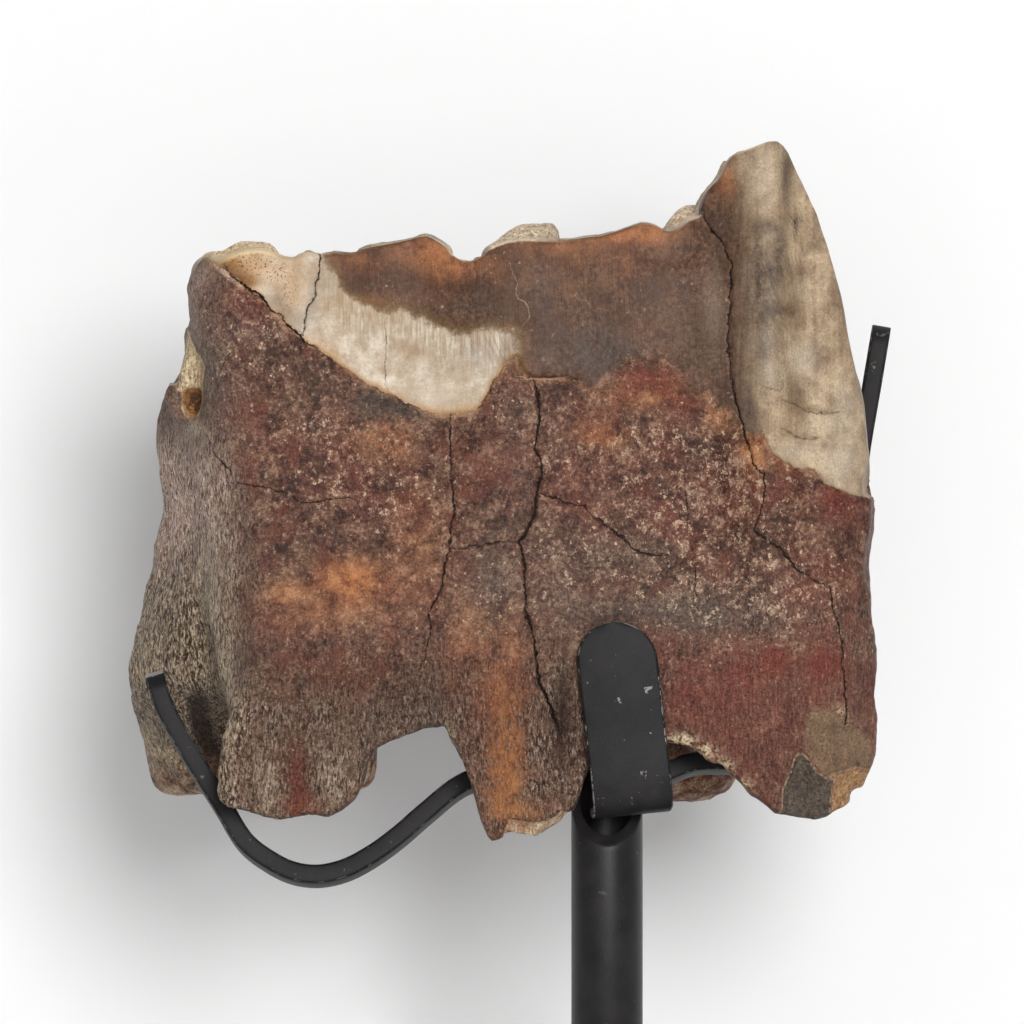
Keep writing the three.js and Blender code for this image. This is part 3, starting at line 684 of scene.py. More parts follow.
# soft colour glows: view column and row, half widths in view steps, strength
glows = {
    "amber": (
        (352, 580, 32, 19, 1.3), (286, 592, 26, 12, 0.5), (330, 612, 50, 16, 0.35),
        (420, 545, 22, 46, 0.3), (470, 620, 22, 26, 0.25), (650, 396, 46, 13, 0.45),
        (603, 436, 26, 12, 0.6), (398, 450, 20, 20, 0.25), (380, 440, 28, 20, 0.3),
        (506, 640, 24, 30, 0.35), (512, 740, 15, 44, 0.7), (506, 800, 14, 30, 1), (532, 812, 14, 9, 0.7),
        (498, 690, 20, 28, 0.4), (752, 452, 13, 22, 0.9), (790, 462, 22, 8, 0.5), (300, 808, 16, 10, 0.3),
        (462, 660, 14, 28, 0.3), (546, 375, 26, 7, 0.5), (500, 770, 16, 50, 0.6), (722, 418, 16, 12, 0.6),
    ),
    "red": (
        (826, 666, 18, 15, 1.5), (776, 660, 14, 13, 1.4), (745, 672, 20, 16, 0.5), (298, 780, 14, 40, 0.8),
        (836, 505, 24, 20, 0.9), (650, 378, 40, 16, 0.6), (270, 625, 60, 22, 0.4),
        (700, 690, 60, 40, 0.35), (245, 310, 34, 30, 0.4), (500, 700, 36, 60, 0.5),
        (820, 590, 40, 60, 0.3), (720, 500, 50, 30, 0.2), (600, 500, 60, 40, 0.2), (298, 806, 15, 16, 0.5),
        (730, 720, 70, 60, 0.35), (690, 402, 26, 16, 0.5), (350, 470, 60, 40, 0.25),
        (400, 600, 50, 40, 0.3),
    ),
    "ash": (
        (488, 590, 30, 46, 0.9), (720, 618, 70, 18, 0.8), (640, 610, 60, 16, 0.5), (395, 404, 50, 13, 1.3),
        (212, 400, 26, 90, 0.6), (400, 725, 50, 26, 0.7), (590, 545, 60, 30, 0.5), (240, 640, 34, 60, 0.3),
        (560, 700, 24, 50, 0.5), (430, 690, 20, 40, 0.75), (205, 350, 16, 40, 0.7),
        (690, 600, 60, 30, 0.3), (310, 740, 80, 60, 0.45), (560, 600, 40, 36, 0.5),
        (640, 560, 40, 24, 0.4), (520, 460, 20, 60, 0.3),
    ),
    # dark: partly painted shadow, beside the clip and in the hollows between and under the roots, and
    # partly dark stains on the crown
    "dark": (
        (562, 720, 13, 60, 1.15), (430, 404, 50, 10, 0.55), (432, 444, 14, 22, 0.4),
        (275, 328, 14, 8, 0.5), (172, 668, 12, 18, 0.5), (545, 395, 20, 14, 0.4), (620, 618, 50, 12, 0.5),
        (700, 618, 60, 12, 0.35), (300, 545, 70, 20, 0.3), (246, 560, 26, 60, 0.3),
        (850, 540, 20, 40, 0.35), (395, 278, 60, 20, 0.9), (690, 745, 26, 10, 0.5),
        (300, 372, 50, 10, 0.5), (395, 400, 46, 10, 1), (215, 300, 10, 30, 0.4), (440, 292, 30, 20, 0.3),
        (770, 760, 20, 30, 0.3), (590, 700, 8, 90, 0.7),
    ),
    # hollow: painted shade in the recess between the left flank and the cheek wall, beside the cradle
    # strip
    "hollow": ((205, 742, 13, 42, 1.3), (220, 768, 9, 30, 1.1), (194, 706, 11, 26, 1)),
    "threads": (
        (212, 600, 12, 70, 0.8), (224, 686, 9, 40, 1.2), (268, 790, 14, 28, 0.8), (334, 780, 16, 30, 0.7),
        (195, 430, 10, 12, 1), (143, 670, 8, 30, 0.8),
    ),
    "speckle": (
        (662, 442, 44, 18, 0.9), (745, 488, 44, 44, 0.8), (612, 452, 30, 20, 0.4),
        (350, 478, 70, 40, 0.45), (395, 500, 36, 20, 0.6), (262, 350, 40, 30, 0.45),
        (320, 430, 40, 26, 0.4), (575, 560, 46, 30, 0.5), (775, 595, 56, 40, 0.8), (690, 590, 60, 36, 0.5),
        (560, 460, 30, 20, 0.35), (240, 330, 26, 30, 0.35), (730, 398, 22, 16, 0.6),
        (690, 530, 24, 50, 0.5), (690, 506, 18, 20, 0.6), (637, 481, 18, 16, 0.6), (715, 455, 16, 16, 0.5),
        (212, 480, 16, 60, 0.4), (500, 600, 40, 30, 0.3), (520, 420, 30, 30, 0.25),
        (640, 520, 60, 30, 0.35),
    ),
    "slate": (
        (600, 354, 46, 28, 1.2), (727, 392, 12, 30, 0.5), (700, 350, 30, 30, 0.4), (545, 300, 16, 46, 0.4),
        (650, 300, 46, 40, 0.3), (747, 300, 3, 60, 0.6), (470, 306, 36, 14, 0.45), (478, 282, 12, 20, 0.4),
        (740, 290, 9, 70, 0.3), (752, 422, 4, 12, 0.9), (762, 330, 9, 50, 0.75), (776, 300, 13, 50, 0.45),
        (786, 176, 6, 30, 0.9), (770, 226, 12, 6, 0.9), (782, 242, 6, 16, 0.6), (778, 262, 7, 24, 0.6),
        (777, 312, 6, 9, 0.5), (797, 300, 6, 26, 0.4), (797, 222, 3, 12, 0.9), (746, 408, 6, 24, 1.2),
        (720, 220, 16, 32, 0.5), (757, 262, 4, 50, 0.9), (768, 270, 7, 30, 0.5), (480, 350, 20, 24, 0.4),
        (508, 350, 9, 12, 0.5), (300, 320, 12, 14, 0.5), (273, 302, 12, 10, 0.4), (325, 275, 11, 16, 0.3),
        (312, 300, 6, 18, 0.45), (804, 265, 5, 30, 0.3), (620, 250, 50, 20, 0.2),
    ),
    "pearl": (
        (550, 357, 5, 8, 0.16), (557, 352, 3, 4, 0.14), (714, 312, 11, 46, 0.28), (846, 403, 12, 20, 0.6),
        (765, 340, 9, 11, 0.5), (802, 360, 12, 17, 0.8), (770, 372, 12, 16, 0.5), (842, 462, 16, 22, 0.8),
        (800, 452, 20, 9, 0.6), (762, 175, 13, 26, 0.5), (830, 425, 24, 8, 0.4), (440, 395, 40, 14, 0.8),
    ),
    "smudge": (
        (790, 401, 12, 3, 0.5), (808, 409, 10, 4, 0.9), (827, 412, 9, 3.5, 0.8), (788, 430, 9, 4, 0.45),
        (802, 436, 9, 4, 0.9), (814, 438, 5, 2.5, 0.9), (825, 445, 3, 3, 1.1), (814, 451, 2, 2, 0.9),
        (856, 450, 5, 8, 0.6), (815, 320, 2.5, 3, 1.2), (812, 340, 5, 6, 0.6), (788, 210, 5, 40, 0.6),
        (792, 160, 6, 20, 0.8), (846, 330, 6, 40, 0.3), (792, 380, 5, 20, 0.4), (789, 311, 17, 11, 1.1),
    ),
    "smooth": (
        (300, 660, 60, 34, 0.9), (385, 684, 44, 34, 0.8), (296, 772, 15, 46, 0.6), (440, 700, 20, 50, 0.6),
    ),
    "dusty": (
        (200, 276, 14, 16, 1.1), (192, 310, 9, 36, 0.8), (250, 330, 20, 14, 0.3), (176, 440, 10, 40, 0.5),
    ),
    "fan": (
        (768, 285, 17, 36, 1.2), (800, 240, 10, 30, 0.5), (770, 350, 12, 30, 0.6), (495, 345, 20, 20, 0.8),
    ),
    "warm": (
        (238, 262, 26, 14, 1), (270, 268, 30, 18, 0.6), (290, 300, 20, 30, 0.75), (452, 413, 26, 5, 0.6),
        (325, 345, 20, 12, 0.3), (505, 360, 8, 12, 0.4), (240, 280, 16, 8, 0.8),
    ),
    "torn": (
        (681, 741, 15, 6, 1), (704, 751, 12, 6, 0.9), (724, 765, 9, 6, 0.8), (745, 785, 6, 6, 0.5),
        (166, 752, 22, 7, 1.1), (184, 764, 14, 7, 1.2), (146, 734, 8, 10, 0.7), (842, 716, 5, 8, 0.8),
        (448, 735, 5, 10, 0.6),
    ),
    "crest": (
        (458, 254, 20, 6, 1.1), (522, 234, 36, 10, 1.3), (674, 216, 30, 10, 1.2), (255, 252, 70, 8, 1),
        (750, 148, 26, 8, 0.8), (492, 245, 14, 5, 1.2),
    ),
    "rim": (
        (428, 250, 30, 15, 1), (470, 266, 26, 12, 0.7), (620, 236, 40, 11, 1), (652, 230, 24, 12, 0.8),
        (727, 178, 10, 18, 1), (350, 262, 28, 10, 0.5), (535, 245, 30, 9, 0.4), (230, 262, 11, 10, 1.3),
        (246, 280, 14, 9, 1.1), (256, 262, 9, 10, 0.3), (460, 412, 18, 6, 0.7), (432, 410, 12, 5, 0.5),
        (570, 252, 30, 14, 0.45), (628, 262, 22, 16, 0.4), (440, 275, 20, 14, 0.4), (380, 300, 40, 5, 0.3),
        (640, 330, 20, 16, 0.25),
    ),
}


def glowSum(rows, x, z):
    total = np.zeros(len(x))
    for column, row, across, up, strength in rows:
        (cx, cz), = onWall([(column, row)])
        offX, offZ = (x - cx) / (across * view["step"]), (z - cz) / (up * view["step"])
        total = total + strength * np.exp(-(offX**2) - offZ**2)
    return np.clip(total, 0, 1.3)


def ridgeDistance(p):
    # how far a point of the chewing surface lies inside the nearest upright enamel sheet
    x, y, z = p[:, 0], p[:, 1], p[:, 2]
    found = np.minimum(y - cheekSurface(x, z), -np.minimum(crownPlan(x, y, z), cheekWall(x, y, z)))
    for a, b, halfWidth, floor, flare, _ in valleys:
        off = segmentDistance(x, y, a, b) - (halfWidth + np.maximum(z - floor, 0) * flare)
        found = np.minimum(found, np.maximum(off, 0))
    return found


# where each zone of the tooth begins and where it is whole: mm, or a share where a normal is read
toothZones = {
    "wrap": (2, 7), "rightSide": (15.5, 18), "rightTop": (33, 38), "seenBack": (14, 20),
    "seenLeft": (24, 27), "facing": (-0.4, -0.05), "bare": (-0.12, 0.25), "level": (0.55, 0.85),
    "crownTop": (36, 40), "offFront": (0.8, 1.8), "wornTop": (47, 49), "offRim": (3, 4.5),
    "flank": (27.5, 34.5), "flankTop": (30, 36), "behind": (5, 9), "rootTop": (9, 21), "middle": (-1, 5),
    "right": (4, 12), "rightLow": (15, 26), "leftRoot": (24, 32), "rootEnd": (5.5, 9.5),
    "offWall": (2.2, 3.2), "softLeft": (-2.9, -1.2), "softRight": (10.8, 12.2), "thinning": (0.8, 4),
    "lip": (-0.2, 0.35), "pit": (-0.1, 0.5), "wedge": (-0.1, 0.25), "offRidge": (0.75, 1.3),
    "ridgeTop": (48.8, 49.6), "inner": (3.5, 6), "offFacet": (1.5, 4), "rimLevel": (0.4, 0.7),
    "rightRoot": (3, 7), "rightRootTop": (14, 16.5), "combLeft": (-24.5, -22), "combTop": (-4.6, -0.8),
    "upper": (19, 28),
}
# lumps of noise: size in mm, seed, layers
toothLumps = {
    "edgeX": (1.3, 11, 3), "edgeZ": (1.3, 21, 3), "rightEdge": (5, 31, 3), "rightEnd": (4, 33, 3),
    "lipEnd": (2.6, 35, 3), "swellings": (7.5, 41, 2), "lumps": (1.7, 51, 3), "chewed": (1.6, 91, 3),
    "fibres": ((0.55, 0.55, 3), 61, 2), "enamelFibres": ((0.7, 0.7, 6), 71, 2), "rootEnd": (2.4, 95, 2),
    "flank": (2.2, 97, 3), "rightRoot": (2, 99, 2),
}
# heights of the relief in mm
toothRelief = {
    "swellings": 0.26,
    "lumps": 0.11,
    "lumpsLost": 0.085,  # how much lower the lumps are on bare enamel
    "fibres": 0.085,
    "enamelFibres": 0.012,
    "pores": 0.3,
    "outerLayer": 0.42,  # the layer's thickness over the enamel
    "outerLip": 0.1,
    "lip": 0.2,
    "pit": 1.3,
    "wedge": 0.45,
    "ridges": 0.3,
    "dentine": 0.55,
}


def dressTooth(points, faces):
    # the relief over the form, and the masks that the material reads
    deep = toothRelief
    normals = normalsOf(points, faces)
    x, z = points[:, 0].copy(), points[:, 2].copy()
    depth = points[:, 1] - cheekSurface(x, z)
    cheek = towardsCheek(points)

    def zone(name, where):
        return rise(where, *toothZones[name])

    def lump(name):
        return roughNoise(points, *toothLumps[name])

    def offOutline(outline):
        return np.where(cheek > 0.02, polygonDistance(outline, edgeX, edgeZ), farAway)

    # signed distances to the edges of the layers and of the broken places
    edgeX, edgeZ = x + 0.16 * lump("edgeX"), z + 0.16 * lump("edgeZ")
    enamel = offOutline(enamelOutline)
    rightEdge = (29.0 - z) + 1.6 * lump("rightEdge")
    rightEnd = depth - 9.5 - 30 * zone("rightTop", z) + 2.0 * lump("rightEnd")
    rightEnamel = np.maximum(np.where(cheek > 0.02, enamel, rightEdge), rightEnd)
    enamel = np.minimum(np.where(zone("rightSide", x) > 0.5, rightEnamel, enamel), farAway)
    stain = polygonDistance(stainEdge, edgeX, edgeZ)
    column = polygonDistance(columnEdge, edgeX + 2.0 * zone("wrap", depth), edgeZ)
    lipEnd = np.maximum(points[:, 1] - 5.0 + 2.5 * lump("lipEnd"), 0)
    lip = np.where(x < -33.0, polygonDistance(lipEdge, edgeX, edgeZ) + 0.6 * lipEnd, farAway)
    pit = np.where(lip < 1, polygonDistance(lipPit, x, z), farAway)
    chips = [offOutline(chip) for chip in (chipUpper, chipGrey, chipTan)]
    wedge = offOutline(tipWedge)
    crackAway, crackHalf, crackDepth = crackPlace(points)

    # glows lie where the front view sees each point
    toWall = (view["eyeDistance"] + view["wallDepth"]) / (view["eyeDistance"] + points[:, 1])
    seenX, seenZ = eyeX + (x - eyeX) * toWall, eyeZ + (z - eyeZ) * toWall
    sight = points - np.array([eyeX, -view["eyeDistance"], eyeZ])
    facing = -(normals * sight).sum(1) / np.linalg.norm(sight, axis=1)
    seen = np.maximum(1 - zone("seenBack", depth), zone("seenLeft", -x)) * zone("facing", facing)

    # zones of the surface, from 0 to 1
    bare = zone("bare", -enamel)
    behind = zone("behind", depth)
    front = 1 - zone("offWall", depth)
    chewing = zone("level", normals[:, 2]) * zone("crownTop", z) * zone("offFront", depth)
    chewing = np.maximum(chewing, zone("wornTop", z) * zone("offRim", depth) * (x < 12))
    flank = zone("flank", 1.3 * lump("flank") - x) * (1 - chewing) * (1 - 0.7 * zone("flankTop", z))
    fibrous = np.clip(flank + (1 - zone("rootTop", z)) * (1 - bare) + 0.45 * behind, 0, 1)
    fibrous *= 1 - 0.6 * zone("middle", x) * (1 - behind)
    fibrous = np.maximum(fibrous, 0.35 * zone("right", x) * (1 - zone("rightLow", z)))
    endHeight = z + 1.2 * lump("rootEnd") + 2.6 * zone("leftRoot", -x)
    soft = zone("softLeft", x) * (1 - zone("softRight", x))  # where the outer layer thins out to nothing

    relief = deep["swellings"] * lump("swellings") * (1 - 0.5 * bare)
    relief += (deep["lumps"] - deep["lumpsLost"] * bare) * lump("lumps")
    relief += deep["fibres"] * fibrous * lump("fibres")
    relief += deep["enamelFibres"] * bare * lump("enamelFibres")
    pores = np.clip(latticeNoise(points, 1.1, 81) - 0.35, 0, 1)
    relief -= deep["pores"] * pores * fibrous * (flank + behind * 0.6)
    edgeStep = deep["outerLayer"] * (1 - 0.75 * soft)
    relief -= edgeStep * bare * (1 - 0.9 * zone("thinning", -enamel))
    relief += deep["outerLip"] * np.exp(-((enamel - 0.35) / 0.35) ** 2) * (1 - soft)
    relief -= deep["lip"] * zone("lip", -lip) + deep["pit"] * zone("pit", -pit)
    relief -= deep["wedge"] * zone("wedge", -wedge)
    relief -= crackDepth * (crackHalf > 0) * np.exp(-((crackAway / (crackHalf + 0.05)) ** 2))
    # enamel stands up as worn ridges on the chewing surface and the dentine between them sinks
    ridge = np.maximum(1 - zone("offRidge", ridgeDistance(points)), zone("ridgeTop", z) * (x < 12))
    inner = zone("inner", depth)
    chewed = deep["ridges"] * ridge * inner - deep["dentine"] * (1 - ridge)
    relief += chewing * (chewed + (0.04 + 0.08 * inner) * lump("chewed"))
    points = points + normals * relief[:, None]
    # the broken places at the lower right are flat facets cut straight back
    facets = np.clip(-chips[0] * 0.3, 0, 0.5)
    facets = np.where(chips[1] < 0, np.clip(0.45 - chips[1] * 0.35, 0, 1.5), facets)
    facets = np.where(chips[2] < 0, np.clip(0.7 - chips[2] * 0.3, 0, 1.4), facets)
    points[:, 1] += facets * (1 - zone("offFacet", depth))

    masks = {
        "enamel": enamel, "stain": stain, "column": column, "lip": lip, "pit": pit, "wedge": wedge,
        "chip": np.minimum(np.minimum(chips[0], chips[1]), chips[2]), "chipTan": chips[2],
        "chipGrey": chips[1], "crackPale": (crackDepth < 0) * 1.0, "crackAway": np.clip(crackAway, -1, 1),
        "crackHalf": np.where(crackHalf > 0, crackHalf, -0.1), "soft": soft, "front": front,
        "rimTop": zone("rimLevel", normals[:, 2]) * zone("crownTop", z) * front,
        "rightRoot": zone("rightRoot", x) * (1 - zone("rightRootTop", z + lump("rightRoot"))),
        "comb": zone("combLeft", x) * zone("combTop", stain),
        "rootEnd": behind * (1 - zone("rootEnd", endHeight)), "upper": zone("upper", z),
        "fibrous": fibrous, "flank": flank, "behind": behind, "chewing": chewing, "ridge": ridge,
    }
    masks.update((name, glowSum(rows, seenX, seenZ) * seen) for name, rows in glows.items())
    return points, masks


def meshObject(name, points, faces):
    mesh = bpy.data.meshes.new(name)
    mesh.vertices.add(len(points))
    mesh.vertices.foreach_set("co", np.asarray(points, np.float32).ravel())
    mesh.loops.add(len(faces) * 3)
    mesh.loops.foreach_set("vertex_index", np.asarray(faces, np.int32).ravel())
    mesh.polygons.add(len(faces))
    mesh.polygons.foreach_set("loop_start", np.arange(0, len(faces) * 3, 3, dtype=np.int32))
    mesh.polygons.foreach_set("use_smooth", np.full(len(faces), True))
    mesh.update(calc_edges=True)
    made = bpy.data.objects.new(name, mesh)
    bpy.context.scene.collection.objects.link(made)
    return made


def addMask(made, name, values):
    attribute = made.data.attributes.new(name, "FLOAT", "POINT")
    attribute.data.foreach_set("value", np.asarray(values, np.float32))


class Value:
    # a node's output, which takes +, - and * and makes Math nodes of them
    def __init__(self, nodes, socket):
        self.nodes, self.socket = nodes, socket

    def __add__(self, other):
        return self.nodes.math("ADD", self, other)

    def __sub__(self, other):
        return self.nodes.math("SUBTRACT", self, other)

    def __rsub__(self, other):
        return self.nodes.math("SUBTRACT", other, self)

    def __mul__(self, other):
        return self.nodes.math("MULTIPLY", self, other)

    def __abs__(self):
        return self.nodes.math("ABSOLUTE", self)


class Node:
    # a node whose outputs are read by name or number
    def __init__(self, nodes, made):
        self.nodes, self.made = nodes, made

    def __getitem__(self, key):
        return Value(self.nodes, self.made.outputs[key])


class Nodes:
    # short calls for the nodes of one shader or geometry tree
    def __init__(self, tree):
        self.tree = tree
        self.kinds = ["GeometryNode"] * (tree.type == "GEOMETRY") + ["ShaderNode"]

    def node(self, kind, inputs=None, **settings):
        made = self.tree.nodes.new(next(k + kind for k in self.kinds if hasattr(bpy.types, k + kind)))
        for name, value in settings.items():
            setattr(made, name, value)
        for name, value in (inputs or {}).items():
            self.put(made.inputs[name], value)
        return Node(self, made)

    def put(self, socket, value):
        # a value is another node's output, a number, a vector, a colour or a colour's name
        if isinstance(value, Value):
            self.tree.links.new(value.socket, socket)
        elif value is not None:
            if isinstance(value, str) and socket.type == "RGBA":
                value = tone(value)
            if socket.type == "RGBA" and len(value) == 3:
                value = (*value, 1.0)
            socket.default_value = value

    def math(self, operation, a, b=None, clamp=False):
        return self.node("Math", {0: a, 1: b}, operation=operation, use_clamp=clamp)[0]

    def most(self, a, b):
        return self.math("MAXIMUM", a, b)

    def least(self, a, b):
        return self.math("MINIMUM", a, b)

    def rest(self, value):
        # what is left of 1
        return self.math("SUBTRACT", 1.0, value, True)

    def vector(self, operation, a, b=None, scale=None):
        return self.node("VectorMath", {0: a, 1: b, 3: scale}, operation=operation)[0]

    def mask(self, name):
        return self.node("Attribute", attribute_name=name)["Fac"]

    def remap(self, value, low, high, toLow=0.0, toHigh=1.0, smooth=True):
        return self.node("MapRange", {
            "Value": value, "From Min": low, "From Max": high, "To Min": toLow, "To Max": toHigh,
        }, interpolation_type="SMOOTHSTEP" if smooth else "LINEAR")["Result"]

    def fall(self, value, low, high):
        return self.remap(value, low, high, 1.0, 0.0)

    def sway(self, noise, reach):
        # a noise stretched to run from -reach to reach
        return self.remap(noise, 0.3, 0.7, -reach, reach, False)

    def mix(self, share, a, b, blend="MIX"):
        return self.node("Mix", {0: share, 6: a, 7: b}, data_type="RGBA", blend_type=blend)[2]

    def shaded(self, colour, amount):
        # brighter where the amount is above 0, darker where it is below
        return self.mix(1.0, colour, amount + 1.0, "MULTIPLY")

    def layered(self, ground, *layers):
        # each layer is a share and the colour that is laid over the ones before
        for share, colour in layers:
            ground = self.mix(share, ground, colour)
        return ground

    def noise(self, place, scale, detail, roughness, distortion=0.0):
        return self.node("TexNoise", {
            "Vector": place, "Scale": scale, "Detail": detail, "Roughness": roughness,
            "Distortion": distortion,
        })["Fac"]

    def place(self, stretch=(1, 1, 1), shift=(0, 0, 0), turn=0.0):
        # Object coordinates in millimetres, turned about y before they are stretched
        coords = self.node("TexCoord")["Object"]
        if turn:
            coords = self.node("Mapping", {"Vector": coords, "Rotation": (0, turn, 0)})["Vector"]
        scale = tuple(1000 * s for s in stretch)
        return self.node("Mapping", {"Vector": coords, "Location": shift, "Scale": scale})["Vector"]

    def ramp(self, value, *stops):
        # stops are given as position, colour, position, colour
        made = self.node("ValToRGB", {"Fac": value})
        elements = made.made.color_ramp.elements
        while len(elements) < len(stops) / 2:
            elements.new(0.5)
        for element, position, colour in zip(elements, stops[::2], stops[1::2]):
            element.position = position
            element.color = (*(tone(colour) if isinstance(colour, str) else colour), 1.0)
        return made["Color"]

    def bump(self, surface, height, strength, distance):
        made = self.node("Bump", {"Height": height, "Strength": strength, "Distance": distance})
        self.put(surface.inputs["Normal"], made["Normal"])


def newTree(kind, name, inputs, outputs):
    # a node group whose sockets are given as name and kind
    tree = bpy.data.node_groups.new(name, kind)
    for way, sockets in (("INPUT", inputs), ("OUTPUT", outputs)):
        for label, socketKind in sockets.items():
            tree.interface.new_socket(label, in_out=way, socket_type="NodeSocket" + socketKind)
    made = Nodes(tree)
    given = tree.nodes.new("NodeGroupInput").outputs
    made.given = [Value(made, given[label]) for label in inputs]
    made.result = tree.nodes.new("NodeGroupOutput").inputs
    return made


studioLight = 1.15  # how bright a white surface that faces the lights comes out


def srgb(*screen):
    # screen values from 0 to 255 as the linear numbers that shaders use
    shares = [c / 255 for c in screen]
    return tuple(c / 12.92 if c <= 0.04045 else ((c + 0.055) / 1.055) ** 2.4 for c in shares)


def newMaterial(name):
    material = bpy.data.materials.new(name)
    material.use_nodes = True
    return material, material.node_tree.nodes["Principled BSDF"]


# Colours on the screen, from 0 to 255, of surfaces that face the studio's lights.
toothColours = {
    # shade and hollow are painted shade; the fibre, rose and end colours are painted lighter than the
    # tooth's own colour, as painted light for the flank and root ends that face away from the lights; the
    # chips' pale edge colour is a painted highlight
    "outerDeep": (55, 35, 29), "outerDark": (85, 57, 47), "outer": (109, 77, 62),
    "outerPale": (146, 114, 94), "clay": (110, 62, 48), "ash": (72, 64, 58), "ashPale": (112, 100, 88),
    "red": (122, 42, 34), "amber": (152, 86, 48), "amberPale": (200, 138, 90), "shade": (50, 35, 31),
    "fleck": (150, 120, 103), "fleckPale": (198, 172, 146), "fibreDeep": (52, 41, 33),
    "fibreDark": (106, 88, 72), "fibre": (152, 129, 107), "fibrePale": (216, 196, 168),
    "barkDeep": (54, 38, 33), "barkDark": (106, 85, 73), "bark": (146, 120, 103),
    "barkPale": (206, 181, 160), "roseDeep": (148, 108, 95), "rose": (226, 184, 168),
    "rosePale": (254, 232, 216), "rust": (112, 66, 48), "stainWarm": (112, 76, 52),
    "crestPale": (255, 234, 202), "crestWarm": (255, 220, 150), "chipEdgeHighlight": (176, 150, 126),
    "creamSpeck": (120, 88, 58), "creamWarm": (206, 166, 124), "pearl": (210, 195, 174),
    "stainDark": (76, 51, 38), "stain": (99, 71, 54), "stainPale": (120, 92, 73), "slate": (60, 51, 47),
    "slatePale": (98, 83, 73), "smudge": (116, 94, 70), "dusty": (128, 106, 96),
    "dustyPale": (172, 150, 136), "fringePale": (214, 178, 152), "rim": (148, 88, 54),
    "rimPale": (182, 122, 80), "olive": (116, 90, 52), "cream": (166, 142, 114),
    "creamMid": (192, 174, 152), "creamPale": (222, 209, 190), "ochre": (190, 136, 72),
    "ochreDark": (112, 76, 42), "columnDark": (110, 90, 73), "column": (150, 127, 102),
    "columnMid": (183, 160, 131), "columnPale": (207, 187, 156), "fringe": (160, 118, 88),
    "lipDark": (146, 118, 86), "lip": (196, 172, 138), "lipPale": (222, 204, 174),
    "pitOchre": (160, 112, 66), "chipBrown": (108, 84, 66), "chipPale": (142, 115, 90),
    "chipGrey": (72, 62, 56), "chipGreyPale": (108, 96, 84), "chipTan": (140, 98, 64),
    "chipTanPale": (186, 148, 108), "wedge": (178, 128, 94), "wedgePale": (212, 184, 154),
    "dentine": (84, 58, 44), "dentinePale": (126, 94, 72), "redBrown": (112, 60, 50),
    "endDark": (176, 122, 88), "end": (222, 182, 142), "endPale": (250, 224, 190),
    "crestDark": (204, 166, 136), "moss": (98, 84, 62), "hollow": (30, 21, 17), "ridge": (160, 136, 112),
    "ridgePale": (212, 192, 168), "crack": (26, 14, 10), "paleLine": (160, 127, 101),
    "rimShade": (104, 70, 48),
}


def tone(name):
    return tuple(c / studioLight for c in srgb(*toothColours[name]))


def fleckGroup():
    # angular flecks of crust, more of them where Amount is high, with a random Shade for each
    s = newTree("ShaderNodeTree", "crustFlecks", {"Place": "Vector", "Scale": "Float", "Amount": "Float"},
                {"Mask": "Float", "Shade": "Float"})
    place, scale, amount = s.given
    wander = s.node("TexNoise", {"Vector": place, "Scale": 5.0, "Detail": 1.0})["Color"]
    bent = s.node("VectorMath", {0: wander, 1: (0.45, 0.45, 0.45), 2: place}, operation="MULTIPLY_ADD")[0]
    cells = s.node("TexVoronoi", {"Vector": bent, "Scale": scale})
    chance = s.node("SeparateColor", {0: cells["Color"]})
    cellMask = s.remap(chance[0] + amount * 0.7, 0.97, 1.05)
    curl = s.fall(abs(s.noise(bent, scale * 0.7, 1.0, 0.5) - 0.5), 0.02, 0.06)
    kept = s.remap(s.noise(place, scale * 0.45, 2.0, 0.6) + amount * 0.5, 0.66, 0.8)
    s.put(s.result["Mask"], s.most(cellMask, curl * kept))
    s.put(s.result["Shade"], chance[1])
    return s.tree


# the noises that the colours are mixed from: scale per mm, detail, roughness, distortion, and how they lie
toothNoises = {
    "patchy": ((0.55, 5, 0.72), {}),
    "cloud": ((0.3, 3, 0.6), {"shift": (37, 11, 5)}),
    "fine": ((2.6, 3, 0.68), {}),
    "grain": ((5.5, 1, 0.5), {}),
    "fibre": ((4.8, 3, 0.62, 0.6), {"stretch": (1, 1, 0.3)}),
    "streak": ((1.6, 4, 0.6), {"stretch": (1, 1, 0.05)}),
    "thread": ((5.5, 1, 0.5), {"stretch": (1, 1, 0.05)}),
    "fan": ((4.2, 1, 0.5), {"stretch": (1, 1, 0.08), "turn": 0.4}),
    "broad": ((0.11, 3, 0.6), {"shift": (9, 3, 21)}),
    "cluster": ((1.1, 3, 0.7), {}),
    "cloudy": ((0.35, 3, 0.6), {}),
    "jag": ((3.6, 3, 0.7), {}),
}
# roughness of each finish from the lows to the highs of its noise, and how strongly it shines and dents
toothGloss = {"enamel": (0.46, 0.56), "outer": (0.6, 0.48), "rim": 0.85, "specular": 0.16, "bump": 0.00026}


class ToothNodes(Nodes):
    # the tooth's node tree, with its noises and flecks at hand
    def __init__(self, tree):
        super().__init__(tree)
        self.flecks = fleckGroup()
        for name, (look, lie) in toothNoises.items():
            setattr(self, name, self.noise(self.place(**lie), *look))

    def fleckField(self, scale, amount, stretch=(1, 1, 0.8)):
        inputs = {"Place": self.place(stretch=stretch), "Scale": scale, "Amount": amount}
        made = self.node("Group", inputs, node_tree=self.flecks)
        return made["Mask"], made["Shade"]

    def glow(self, name, low=0.34, high=0.58, least=0.45):
        return self.math("MULTIPLY", self.mask(name), self.remap(self.patchy, low, high, least, 1.0), True)


